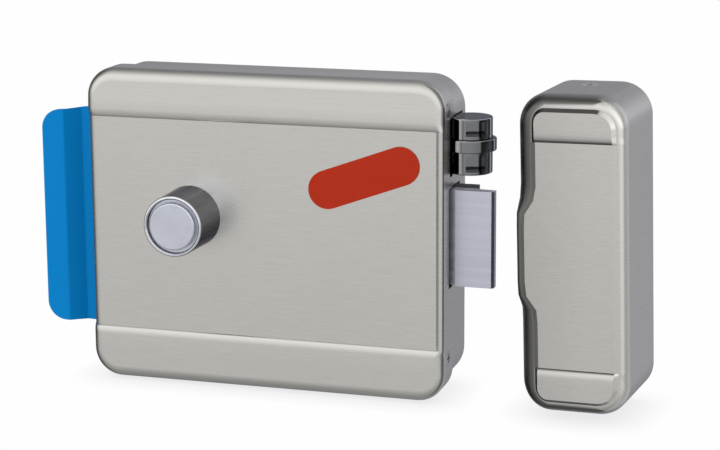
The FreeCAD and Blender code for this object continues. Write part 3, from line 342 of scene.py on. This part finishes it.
# ---- materials -----------------------------------------------------------------------------
def brushed_metal(name, color, roughness, along=SHEET_GRAIN, contrast=0.07, depth=0.35, painted_reflection_stops=()):
    """Brushed sheet: fine grain drawn out along one axis, with faint cloudy variation; with painted
    reflection stops, light and shade are painted into the colour.
    """
    nodes = Nodes(name)
    grain = nodes.noise(along, 4.0, 0.65)
    clouds = nodes.noise(CLOUD_GRAIN, 3.0, 0.5)
    both = nodes.plus(nodes.spread(grain, 0.0, 0.75), nodes.spread(clouds, 0.0, 0.25))
    color_out = nodes.tint(both, shade(color, 1 - contrast), shade(color, 1 + contrast))
    # painted reflection: light and shade painted into the colour by the direction of the reflection
    if painted_reflection_stops:
        color_out = nodes.paint_reflection_tone(color_out, painted_reflection_stops)
    nodes.link(color_out, nodes.shader.inputs["Base Color"])
    nodes.link(nodes.spread(grain, roughness * 0.8, roughness * 1.25), nodes.shader.inputs["Roughness"])
    nodes.put("Metallic", 1.0)
    nodes.bump(grain, depth, GRAIN_HEIGHT)
    return nodes.material


def polished_metal(name, color, roughness=0.07, painted_reflection_stops=(), marks_scale=MARKS_GRAIN, marks_contrast=0.06):
    """Plated metal: clear reflections with a trace of haze and fine handling marks; with painted reflection
    stops, its colour and specular tint carry painted light and shade.
    """
    nodes = Nodes(name)
    haze = nodes.noise(HAZE_GRAIN, 4.0, 0.6)
    marks = nodes.noise(marks_scale, 2.0, 0.5)
    color_out = nodes.tint(marks, shade(color, 1 - marks_contrast), shade(color, 1 + marks_contrast))
    # painted reflection: light and shade painted into the colour and its specular tint by the direction of
    # the reflection
    if painted_reflection_stops:
        color_out = nodes.paint_reflection_tone(color_out, painted_reflection_stops)
        nodes.link(color_out, nodes.shader.inputs["Specular Tint"])
    nodes.link(color_out, nodes.shader.inputs["Base Color"])
    nodes.link(nodes.spread(haze, roughness * 0.6, roughness * 1.6), nodes.shader.inputs["Roughness"])
    nodes.put("Metallic", 1.0)
    nodes.bump(marks, MARKS_STRENGTH, FINE_HEIGHT)
    return nodes.material


def coated(name, color, roughness, grain=700.0, depth=0.25, variation=0.12, specular=0.5):
    """Paint, plastic or rubber: fine surface grain, slow colour drift, lighter worn edges."""
    nodes = Nodes(name)
    drift = nodes.noise(DRIFT_GRAIN, 3.0, 0.5)
    fine = nodes.noise((grain, grain, grain), 3.0, 0.6)
    base = nodes.tint(drift, shade(color, 1 - variation), shade(color, 1 + variation))
    nodes.link(nodes.worn_edges(base, shade(color, 1.6), 0.5), nodes.shader.inputs["Base Color"])
    nodes.link(nodes.spread(fine, roughness * 0.85, roughness * 1.2), nodes.shader.inputs["Roughness"])
    nodes.put("Specular IOR Level", specular)
    nodes.bump(fine, depth, FINE_HEIGHT)
    return nodes.material


def wound_copper(name):
    """Enamelled wire: rings round the coil's axis."""
    nodes = Nodes(name)
    wave = nodes.add("ShaderNodeTexWave", wave_type="BANDS", bands_direction="X", wave_profile="SIN")
    wave.inputs["Scale"].default_value = 1.0
    wave.inputs["Distortion"].default_value = 0.6
    nodes.link(nodes.coordinates(WINDING_GRAIN), wave.inputs["Vector"])
    nodes.link(nodes.tint(wave.outputs["Fac"], (0.20, 0.06, 0.02), (0.72, 0.30, 0.12)),
               nodes.shader.inputs["Base Color"])
    nodes.put("Metallic", 0.8)
    nodes.put("Roughness", 0.28)
    nodes.bump(wave.outputs["Fac"], WINDING_STRENGTH, WINDING_HEIGHT)
    return nodes.material


def material_set():
    """One material for every slot name of the record, and one each for the cover, strike and latch, with
    painted reflection light and shade.
    """
    chrome = (0.80, 0.81, 0.85)
    shell = (0.60, 0.59, 0.56)
    return {
        "brushed_shell": brushed_metal("brushed_shell", shell, 0.28, contrast=0.05),
        # the cover's and the strike's copies of the shell carry painted reflection light and shade
        "cover_painted_reflection_metal": brushed_metal("cover_painted_reflection_metal", shell, 0.28, contrast=0.05, painted_reflection_stops=COVER_PAINTED_REFLECTION),
        "strike_painted_reflection_metal": brushed_metal("strike_painted_reflection_metal", shell, 0.28, contrast=0.05, painted_reflection_stops=STRIKE_PAINTED_REFLECTION),
        "case_steel": brushed_metal("case_steel", (0.58, 0.57, 0.55), 0.30, contrast=0.05),
        "blue_paint": coated("blue_paint", (0.0, 0.13, 0.345), 0.45, variation=0.06, specular=0.06),
        # the chrome and the shaded chrome carry painted reflection light and shade
        "chrome": polished_metal("chrome", chrome, 0.10, CHROME_PAINTED_REFLECTION, COLLAR_GRAIN, 0.25),
        "shaded_chrome": polished_metal("shaded_chrome", chrome, 0.08, SHADED_TONES),
        "satin_cap": brushed_metal("satin_cap", (0.62, 0.64, 0.71), 0.36, CAP_GRAIN, 0.10, 0.15),
        "bolt_steel": brushed_metal("bolt_steel", (0.58, 0.59, 0.67), 0.36, BOLT_GRAIN, 0.12, 0.7),
        "black_nylon": coated("black_nylon", (0.016, 0.016, 0.018), 0.5),
        "zinc_steel": brushed_metal("zinc_steel", (0.50, 0.52, 0.54), 0.36, PLATED_GRAIN, 0.16),
        "spring_steel": polished_metal("spring_steel", (0.42, 0.42, 0.44), 0.2),
        "screw_steel": polished_metal("screw_steel", (0.62, 0.62, 0.64), 0.18),
        "copper_wire": wound_copper("copper_wire"),
        "white_nylon": coated("white_nylon", (0.72, 0.70, 0.65), 0.45),
        "cam_brass": brushed_metal("cam_brass", (0.62, 0.46, 0.20), 0.3, PLATED_GRAIN),
        "wire_insulation": coated("wire_insulation", (0.5, 0.03, 0.02), 0.4),
        "black_rubber": coated("black_rubber", (0.014, 0.014, 0.014), 0.7, 500.0, 0.5),
        "red_label": coated("red_label", (0.27, 0.018, 0.006), 0.45, variation=0.06, specular=0.06),
    }


def paint_nodes(materials):
    wanted = {entry["node"]: entry["material_slot"] for entry in frame["record"]["subparts"]}
    for node, piece in frame["nodes"].items():
        for place in piece.material_slots:
            place.material = materials["shaded_chrome" if node in SHADED_NODES else wanted[node]]


# ---- drawn shells --------------------------------------------------------------------------
def smooth(value):
    value = min(max(value, 0.0), 1.0)
    return value * value * (3 - 2 * value)


def blend_between(low, high, share):
    return low + (high - low) * share


class ShellShape:
    """Sizes in millimetres of a pressed shell with two bands and a recessed belt between them."""

    stretch = 1.0        # depth of the edge fillets over their width
    edge_depth = 0.0     # how far the shoulder round the raised face lies behind the bands
    band_slope = 0.0     # how far the upper band leans back per millimetre of height

    def __init__(self, **sizes):
        for name, value in sizes.items():
            setattr(self, name, value)

    def lean(self, z):
        return max(z - self.belt[1] - self.shoulder, 0.0) * self.band_slope

    def belt_depth(self, z):
        """How far the belt lies behind the bands at this height: a rounded shoulder, a sharp foot."""
        below = self.belt[0] - z
        above = z - self.belt[1]
        outside = max(below, above) / self.shoulder
        if outside <= 0:
            return self.recess
        if outside >= 1:
            return 0.0
        return self.recess * (1 - math.sqrt(1 - (1 - outside) ** 2))

    def heights(self):
        """Row heights on the straight sides, close together where the belt's shoulders are."""
        straight = self.half_height - self.corner
        rows = [-straight, straight]
        for edge, outward in ((self.belt[0], -1), (self.belt[1], 1)):
            rows += [edge - outward * step for step in (0.5, 0.05)]
            for step in range(SHOULDER_STEPS + 1):
                share = 1 - math.cos(math.pi / 2 * step / SHOULDER_STEPS)
                rows.append(edge + outward * self.shoulder * share)
        inner_low, inner_high = self.belt[0] + 1.0, self.belt[1] - 1.0
        rows += [blend_between(inner_low, inner_high, step / BELT_ROWS) for step in range(BELT_ROWS + 1)]
        return sorted(row for row in rows if -straight <= row <= straight)

    def column(self, side, inset):
        """Points up one side of the outline: x, z, outward normal, fillet radius and depth of the face."""
        points = []
        centre_x = side * (self.half_width - self.corner)
        centre_z = self.half_height - self.corner
        radius = self.corner - inset
        angles = [math.pi / 2 * step / CORNER_STEPS for step in range(CORNER_STEPS + 1)]
        for angle in reversed(angles[1:]):
            points.append(self.corner_point(side, centre_x, -centre_z, radius, -angle, inset))
        for z in self.heights():
            fillet = max(self.fillets[side](z) - inset, MIN_FILLET)
            points.append((centre_x + side * radius, z, side, 0.0, fillet, self.belt_depth(z)))
        for angle in angles[1:]:
            points.append(self.corner_point(side, centre_x, centre_z, radius, angle, inset))
        return points

    def corner_point(self, side, centre_x, centre_z, radius, angle, inset):
        across, up = side * math.cos(angle), math.sin(angle)
        side_fillet = self.fillets[side](math.copysign(self.half_height, angle))
        fillet = blend_between(side_fillet, self.end_fillet, smooth(abs(angle) / (math.pi / 2)))
        place = (centre_x + radius * across, centre_z + radius * up)
        return (*place, across, up, max(fillet - inset, MIN_FILLET), 0.0)


def shell_surface(shape, inset):
    """Vertices and faces of one side of the sheet. Returns them with the open rear loop's indices."""
    vertices, faces = [], []
    left, right = shape.column(-1, inset), shape.column(1, inset)
    ring = right + left[::-1]
    loops = []
    levels = [("rear", 0.0), ("wall", 0.0)]
    levels += [("fillet", math.pi / 2 * step / FILLET_STEPS) for step in range(FILLET_STEPS + 1)]
    if shape.edge_depth:
        levels += [("edge", 0.0), ("plateau", 0.0)]
    for kind, angle in levels:
        loop = []
        for index, (x, z, across, up, fillet, depth) in enumerate(ring):
            rim = shape.rims[1 if index < len(right) else -1]
            inward = fillet * (1 - math.cos(angle))
            if kind in ("edge", "plateau"):
                inward = fillet + SUPPORT + (EDGE_RAMP if kind == "plateau" else 0.0)
            front_z = z - up * (fillet + SUPPORT + EDGE_RAMP)
            face_y = inset + shape.lean(front_z)
            if kind == "plateau" or not shape.edge_depth:
                face_y += 0.0 if rim else depth
            else:
                face_y += shape.edge_depth
            reach = fillet * shape.stretch
            y = {"rear": shape.rear, "wall": face_y + reach + SUPPORT}.get(kind, face_y)
            if kind == "fillet":
                y += reach * (1 - math.sin(angle))
            loop.append(len(vertices))
            vertices.append((x - across * inward, y, z - up * inward))
        loops.append(loop)
    count = len(ring)
    for near, far in zip(loops, loops[1:]):
        for index in range(count):
            following = (index + 1) % count
            faces.append((near[index], near[following], far[following], far[index]))
    faces += front_rows(shape, vertices, right, loops[-1])
    return vertices, faces, loops[0]


def front_rows(shape, vertices, right, last):
    """Fill the front face with rows that run across, stepping down into the belt at each rim."""
    faces = []
    rows = []
    for index in range(len(right)):
        right_end = last[index]
        left_end = last[len(last) - 1 - index]
        depth = right[index][5]
        row = [left_end] + rim_points(vertices, left_end, 1, depth, shape.rims[-1])
        row += rim_points(vertices, right_end, -1, depth, shape.rims[1])[::-1] + [right_end]
        rows.append(row)
    for lower, upper in zip(rows, rows[1:]):
        for index in range(len(lower) - 1):
            faces.append((lower[index], lower[index + 1], upper[index + 1], upper[index]))
    return faces


def rim_points(vertices, end, direction, depth, rim):
    """Points from one end of a row inwards; with a rim they slope down to the belt."""
    x, y, z = vertices[end]
    made = []
    for step in range(RIM_STEPS + 2):
        share = min(step / RIM_STEPS, 1.0)
        away = (rim if rim else 1.0) * share + SUPPORT * (0.5 if step == 0 else 1.0)
        away += SUPPORT * max(step - RIM_STEPS, 0)
        made.append(len(vertices))
        vertices.append((x + direction * away, y + (depth * share if rim else 0.0), z))
    return made


def shell_mesh(name, shape):
    """A closed sheet-metal shell: outer skin, inner skin and the rear rim between them."""
    outer, outer_faces, outer_loop = shell_surface(shape, 0.0)
    inner, inner_faces, inner_loop = shell_surface(shape, shape.sheet)
    shift = len(outer)
    faces = outer_faces + [tuple(index + shift for index in reversed(face)) for face in inner_faces]
    count = len(outer_loop)
    for index in range(count):
        following = (index + 1) % count
        faces.append((outer_loop[following], outer_loop[index], inner_loop[index] + shift,
                      inner_loop[following] + shift))
    mesh = bpy.data.meshes.new(name)
    mesh.from_pydata([tuple(value * MM for value in vertex) for vertex in outer + inner], [], faces)
    solid = bmesh.new()
    solid.from_mesh(mesh)
    bmesh.ops.recalc_face_normals(solid, faces=solid.faces)
    solid.to_mesh(mesh)
    solid.free()
    piece = bpy.data.objects.new(name, mesh)
    bpy.context.collection.objects.link(piece)
    return piece


def box_cutter(low, high):
    mesh = bpy.data.meshes.new("cutter")
    solid = bmesh.new()
    bmesh.ops.create_cube(solid, size=1.0)
    for vertex in solid.verts:
        sides = zip(low, high, vertex.co)
        vertex.co = Vector(blend_between(a, b, share + 0.5) * MM for a, b, share in sides)
    solid.to_mesh(mesh)
    solid.free()
    return link_cutter(mesh)


def round_cutter(place, direction, radii, length):
    """A cone or cylinder cutter from a point along a direction; radii at its start and end."""
    mesh = bpy.data.meshes.new("cutter")
    solid = bmesh.new()
    bmesh.ops.create_cone(solid, cap_ends=True, segments=CUTTER_SEGMENTS, radius1=radii[0] * MM,
                          radius2=radii[1] * MM, depth=length * MM)
    turn = Vector(direction).to_track_quat("Z", "Y").to_matrix().to_4x4()
    middle = Vector(place) * MM + Vector(direction) * (length * MM / 2)
    bmesh.ops.transform(solid, matrix=Matrix.Translation(middle) @ turn, verts=solid.verts)
    solid.to_mesh(mesh)
    solid.free()
    return link_cutter(mesh)


def screw_cutters(place, direction):
    """Countersunk screw hole; the cone starts a little outside the wall."""
    start = [value - step * CUTTER_START for value, step in zip(place, direction)]
    head = (SCREW_HEAD + CUTTER_START, SCREW_SHANK)
    return [round_cutter(start, direction, head, SCREW_HEAD + CUTTER_START - SCREW_SHANK),
            round_cutter(start, direction, (SCREW_SHANK, SCREW_SHANK), SCREW_DEPTH)]


def link_cutter(mesh):
    cutter = bpy.data.objects.new("cutter", mesh)
    bpy.context.collection.objects.link(cutter)
    return cutter


def cut_away(piece, cutters):
    """Cut openings with exact booleans, then drop the cutters."""
    for cutter in cutters:
        modifier = piece.modifiers.new("cut", "BOOLEAN")
        modifier.operation = "DIFFERENCE"
        modifier.solver = "EXACT"
        modifier.object = cutter
        graph = bpy.context.evaluated_depsgraph_get()
        made = bpy.data.meshes.new_from_object(piece.evaluated_get(graph))
        piece.modifiers.clear()
        piece.data = made
        bpy.data.objects.remove(cutter)


def finish_piece(piece, material, slot, body, *replaced):
    piece.data.materials.clear()
    piece.data.materials.append(material)
    piece.data.shade_smooth()
    piece.data.set_sharp_from_angle(angle=math.radians(SHARP_ANGLE))
    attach(piece, body)
    if replaced:
        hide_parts(*replaced)


def node_size(name):
    """Lowest and highest corner of a CAD node in millimetres."""
    low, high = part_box(name)
    return [value / MM for value in low], [value / MM for value in high]


def make_cover(materials):
    low, high = node_size("front_cover")
    shape = ShellShape(half_width=high[0], half_height=high[2], corner=COVER_CORNER, rear=high[1] - low[1],
                       belt=COVER_BELT, recess=BELT_RECESS, shoulder=SHOULDER, sheet=COVER_SHEET,
                       end_fillet=COVER_END_FILLET, fillets={-1: cover_left_fillet, 1: cover_right_fillet},
                       rims={-1: 0.0, 1: COVER_RIM}, band_slope=COVER_BAND_SLOPE)
    cover = shell_mesh("cover_shell", shape)
    cover.data.transform(Matrix.Translation((0.0, low[1] * MM, 0.0)))
    collar = node_size("collar_nut")
    middle = [(a + b) / 2 for a, b in zip(*collar)]
    collar_start = (middle[0], low[1] - COLLAR_CUT[0], middle[2])
    cutters = [round_cutter(collar_start, (0, 1, 0), (COLLAR_HOLE, COLLAR_HOLE), COLLAR_CUT[1])]
    for y_range, z_range in (COVER_BOLT_SLOT, COVER_LATCH_OPENING):
        cutters.append(box_cutter((high[0] - SIDE_CUT[0], y_range[0], z_range[0]),
                                  (high[0] + SIDE_CUT[1], y_range[1], z_range[1])))
    for side in (-1, 1):
        for z in (COVER_SCREW_LOW_Z, COVER_SCREW_HIGH_Z):
            cutters += screw_cutters((side * high[0], COVER_SCREW_Y, z), (-side, 0, 0))
    cut_away(cover, cutters)
    finish_piece(cover, materials["cover_painted_reflection_metal"], "brushed_shell", "case", "front_cover")


def cover_left_fillet(z):
    return COVER_LEFT_FILLET


def cover_right_fillet(z):
    """Right-hand fillet: tight along the belt, wider beside the bands."""
    outside = max(COVER_BELT[0] - z, z - COVER_BELT[1]) / SHOULDER
    return blend_between(COVER_BELT_FILLET, COVER_BAND_FILLET, smooth(outside))


def strike_left_fillet(z):
    """The strike's broad left fillet narrows to a straight lip in the middle."""
    above = (z - STRIKE_LIP[1]) / (STRIKE_LIP_END[1] - STRIKE_LIP[1])
    below = (STRIKE_LIP[0] - z) / (STRIKE_LIP[0] - STRIKE_LIP_END[0])
    return blend_between(STRIKE_LIP_FILLET, STRIKE_LEFT_FILLET, smooth(max(above, below)))


def strike_right_fillet(z):
    outside = max(STRIKE_BELT[0] - z, z - STRIKE_BELT[1]) / SHOULDER
    return blend_between(STRIKE_BELT_FILLET, STRIKE_BAND_FILLET, smooth(outside))


def strike_place():
    """Turn, lean and place of the strike, worked out from its mounts."""
    mounts = {entry["name"]: entry for entry in frame["record"]["mounts"]}
    middle = Vector(mounts["strike_back"]["pos_m"])
    behind = Vector((*mounts["strike_back"]["axis"][:2], 0.0)).normalized()
    holes = [Vector(mounts[name]["pos_m"]) for name in ("strike_hole_top", "strike_hole_bottom")]
    upward = (holes[0] - holes[1]).normalized()
    sideways = behind.cross(upward)
    turn = Matrix((sideways, behind, upward)).transposed().to_4x4()
    return Matrix.Translation(middle) @ turn @ Matrix.Translation((0.0, -STRIKE_DEPTH * MM, 0.0))


def make_strike(materials):
    shape = ShellShape(half_width=STRIKE_HALF_WIDTH, half_height=STRIKE_HALF_HEIGHT, corner=STRIKE_CORNER,
                       rear=STRIKE_DEPTH - STRIKE_BASE, belt=STRIKE_BELT, recess=BELT_RECESS,
                       shoulder=SHOULDER, sheet=STRIKE_SHEET, end_fillet=STRIKE_END_FILLET,
                       fillets={-1: strike_left_fillet, 1: strike_right_fillet}, rims={-1: 0.0, 1: 0.0},
                       stretch=STRIKE_STRETCH, edge_depth=STRIKE_EDGE_DEPTH)
    strike = shell_mesh("strike_shell", shape)
    left = -STRIKE_HALF_WIDTH
    cutters = [box_cutter((left - MOUTH_CUT[0], STRIKE_MOUTH_Y[0], STRIKE_MOUTH_Z[0]),
                          (left + MOUTH_CUT[1], STRIKE_MOUTH_Y[1], STRIKE_MOUTH_Z[1]))]
    for side in (-1, 1):
        place = (0.0, STRIKE_DEPTH - STRIKE_SCREW_BACK, side * STRIKE_HALF_HEIGHT)
        cutters += screw_cutters(place, (0, 0, -side))
    cut_away(strike, cutters)
    strike.data.transform(strike_place())
    finish_piece(strike, materials["strike_painted_reflection_metal"], "brushed_shell", "strike", "strike_box")


# ---- coil springs --------------------------------------------------------------------------
def spring_mesh(name, length, coil_radius, wire_radius, turns):
    """Coil spring along +Z from 0, with one closed turn at each end."""
    closed = 2 * wire_radius
    marks = (0.0, 1.0, turns - 1.0, turns)
    heights = (wire_radius, wire_radius + closed, length - wire_radius - closed, length - wire_radius)
    steps = int(turns * COIL_POINTS)
    vertices, faces = [], []
    for step in range(steps + 1):
        turn = turns * step / steps
        part = sum(turn > mark for mark in marks[1:3])
        share = (turn - marks[part]) / (marks[part + 1] - marks[part])
        height = blend_between(heights[part], heights[part + 1], share)
        outward = Vector((math.cos(math.tau * turn), math.sin(math.tau * turn), 0.0))
        for point in range(WIRE_POINTS):
            angle = math.tau * point / WIRE_POINTS
            reach = coil_radius + wire_radius * math.cos(angle)
            vertices.append((outward * reach + Vector((0, 0, height + wire_radius * math.sin(angle)))) * MM)
    for step in range(steps):
        for point in range(WIRE_POINTS):
            following = (point + 1) % WIRE_POINTS
            low, high = step * WIRE_POINTS, (step + 1) * WIRE_POINTS
            faces.append((low + point, high + point, high + following, low + following))
    faces.append(tuple(range(WIRE_POINTS)))
    faces.append(tuple(reversed(range(steps * WIRE_POINTS, (steps + 1) * WIRE_POINTS))))
    mesh = bpy.data.meshes.new(name)
    mesh.from_pydata(vertices, [], faces)
    piece = bpy.data.objects.new(name, mesh)
    bpy.context.collection.objects.link(piece)
    return piece


def make_spring(node, joint_name, direction, turns, wire_radius, materials):
    """Spring between its fixed end and the piece that presses it."""
    low, high = node_size(node)
    axis = [abs(value) for value in direction].index(1)
    across = (axis + 1) % 3
    length = high[axis] - low[axis]
    coil_radius = (high[across] - low[across]) / 2 - wire_radius
    fixed = [(a + b) / 2 for a, b in zip(low, high)]
    fixed[axis] = low[axis] if direction[axis] > 0 else high[axis]
    piece = spring_mesh(node + "_coil", length, coil_radius, wire_radius, turns)
    turn = Vector(direction).to_track_quat("Z", "Y").to_matrix().to_4x4()
    anchor = Vector(fixed) * MM
    piece.data.transform(Matrix.Translation(anchor) @ turn)
    finish_piece(piece, materials["spring_steel"], "spring_steel", "case", node)
    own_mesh(piece)


# ---- stage, light and camera ---------------------------------------------------------------
def studio_glow(tree, direction):
    """Brightness of the studio around the object for one direction."""
    over = ramp(tree, turn_share(tree, direction, "Z"), OVER_GLOW)
    around = ramp(tree, turn_share(tree, direction, "X"), SIDE_GLOW)
    split = tree.nodes.new("ShaderNodeSeparateXYZ")
    tree.links.new(direction, split.inputs[0])
    upright = tree.nodes.new("ShaderNodeMath")
    upright.operation = "ABSOLUTE"
    tree.links.new(split.outputs["Z"], upright.inputs[0])
    steep = share_of(tree, upright.outputs[0], STEEP_FROM, STEEP_TO)
    glow = multiply(tree, over, blend_colors(tree, steep, around, (1.0, 1.0, 1.0)))
    behind = share_of(tree, split.outputs["Y"], 0.0, 0.5)
    return multiply(tree, glow, blend_colors(tree, behind, (1.0, 1.0, 1.0), COOL_TINT))


def share_of(tree, value, low, high):
    reach = tree.nodes.new("ShaderNodeMapRange")
    reach.inputs["From Min"].default_value = low
    reach.inputs["From Max"].default_value = high
    tree.links.new(value, reach.inputs["Value"])
    return reach.outputs["Result"]


def make_floor():
    """Pale seamless paper with a soft contact shadow; metal mirrors the studio, not the paper."""
    low = cad_box[0][2] - FLOOR_GAP
    mesh = bpy.data.meshes.new("floor")
    half = FLOOR_HALF
    corners = [(-half, -half, low), (half, -half, low), (half, half, low), (-half, half, low)]
    mesh.from_pydata(corners, [], [(0, 1, 2, 3)])
    floor = bpy.data.objects.new("floor", mesh)
    bpy.context.collection.objects.link(floor)
    floor.visible_glossy = False
    nodes = Nodes("floor_paper")
    tone = nodes.noise(PAPER_GRAIN, 2.0)
    nodes.link(nodes.tint(tone, (0.80, 0.80, 0.80), (0.82, 0.82, 0.82)), nodes.shader.inputs["Base Color"])
    nodes.put("Roughness", 0.9)
    nodes.put("Specular IOR Level", 0.1)
    near = nodes.add("ShaderNodeAmbientOcclusion", samples=SHADOW_SAMPLES)
    near.inputs["Distance"].default_value = SHADOW_REACH
    glow = nodes.add("ShaderNodeEmission")
    nodes.link(nodes.tint(near.outputs["AO"], SHADOW_GREY, PAPER_GREY), glow.inputs["Color"])
    path = nodes.add("ShaderNodeLightPath")
    mix = nodes.add("ShaderNodeMixShader")
    output = next(node for node in nodes.tree.nodes if node.type == "OUTPUT_MATERIAL")
    nodes.link(path.outputs["Is Camera Ray"], mix.inputs[0])
    nodes.link(nodes.shader.outputs[0], mix.inputs[1])
    nodes.link(glow.outputs[0], mix.inputs[2])
    nodes.link(mix.outputs[0], output.inputs["Surface"])
    mesh.materials.append(nodes.material)


def area_light(name, place, size, power):
    """A soft box aimed at the object; metal doesn't mirror it, the studio glow does that."""
    data = bpy.data.lights.new(name, "AREA")
    data.shape = "RECTANGLE"
    data.size, data.size_y = size
    data.energy = power
    lamp = bpy.data.objects.new(name, data)
    lamp.location = place
    lamp.rotation_mode = "QUATERNION"
    lamp.rotation_quaternion = (-Vector(place)).to_track_quat("-Z", "Y")
    lamp.visible_glossy = False
    bpy.context.collection.objects.link(lamp)


def make_world():
    """Metal mirrors the studio glow; the camera sees plain pale paper."""
    world = bpy.data.worlds.new("studio")
    world.use_nodes = True
    tree = world.node_tree
    place = tree.nodes.new("ShaderNodeTexCoord")
    path = tree.nodes.new("ShaderNodeLightPath")
    glow = studio_glow(tree, place.outputs["Generated"])
    color = blend_colors(tree, path.outputs["Is Camera Ray"], glow, PAPER_GREY)
    tree.links.new(color, tree.nodes["Background"].inputs["Color"])
    bpy.context.scene.world = world


def make_camera():
    yaw, pitch, roll = CAMERA_YAW, CAMERA_PITCH, CAMERA_ROLL
    ahead = Vector((-math.sin(yaw) * math.cos(pitch), math.cos(yaw) * math.cos(pitch), -math.sin(pitch)))
    level = Vector((math.cos(yaw), math.sin(yaw), 0.0))
    above = level.cross(ahead)
    right = level * math.cos(roll) + above * math.sin(roll)
    up = above * math.cos(roll) - level * math.sin(roll)
    data = bpy.data.cameras.new("camera")
    data.sensor_width = 36.0
    data.lens = CAMERA_LENS
    data.shift_x, data.shift_y = CAMERA_SHIFT
    data.clip_start = 0.01
    camera = bpy.data.objects.new("camera", data)
    turn = Matrix((right, up, -ahead)).transposed().to_4x4()
    camera.matrix_world = Matrix.Translation(CAMERA_PLACE) @ turn
    bpy.context.collection.objects.link(camera)
    bpy.context.scene.camera = camera


bpy.context.scene.view_settings.view_transform = "Standard"
materials = material_set()
paint_nodes(materials)
make_cover(materials)
make_strike(materials)
for spring in SPRINGS:
    make_spring(*spring, materials)
make_floor()
make_world()
for soft_box in SOFT_BOXES:
    area_light(*soft_box)
make_camera()
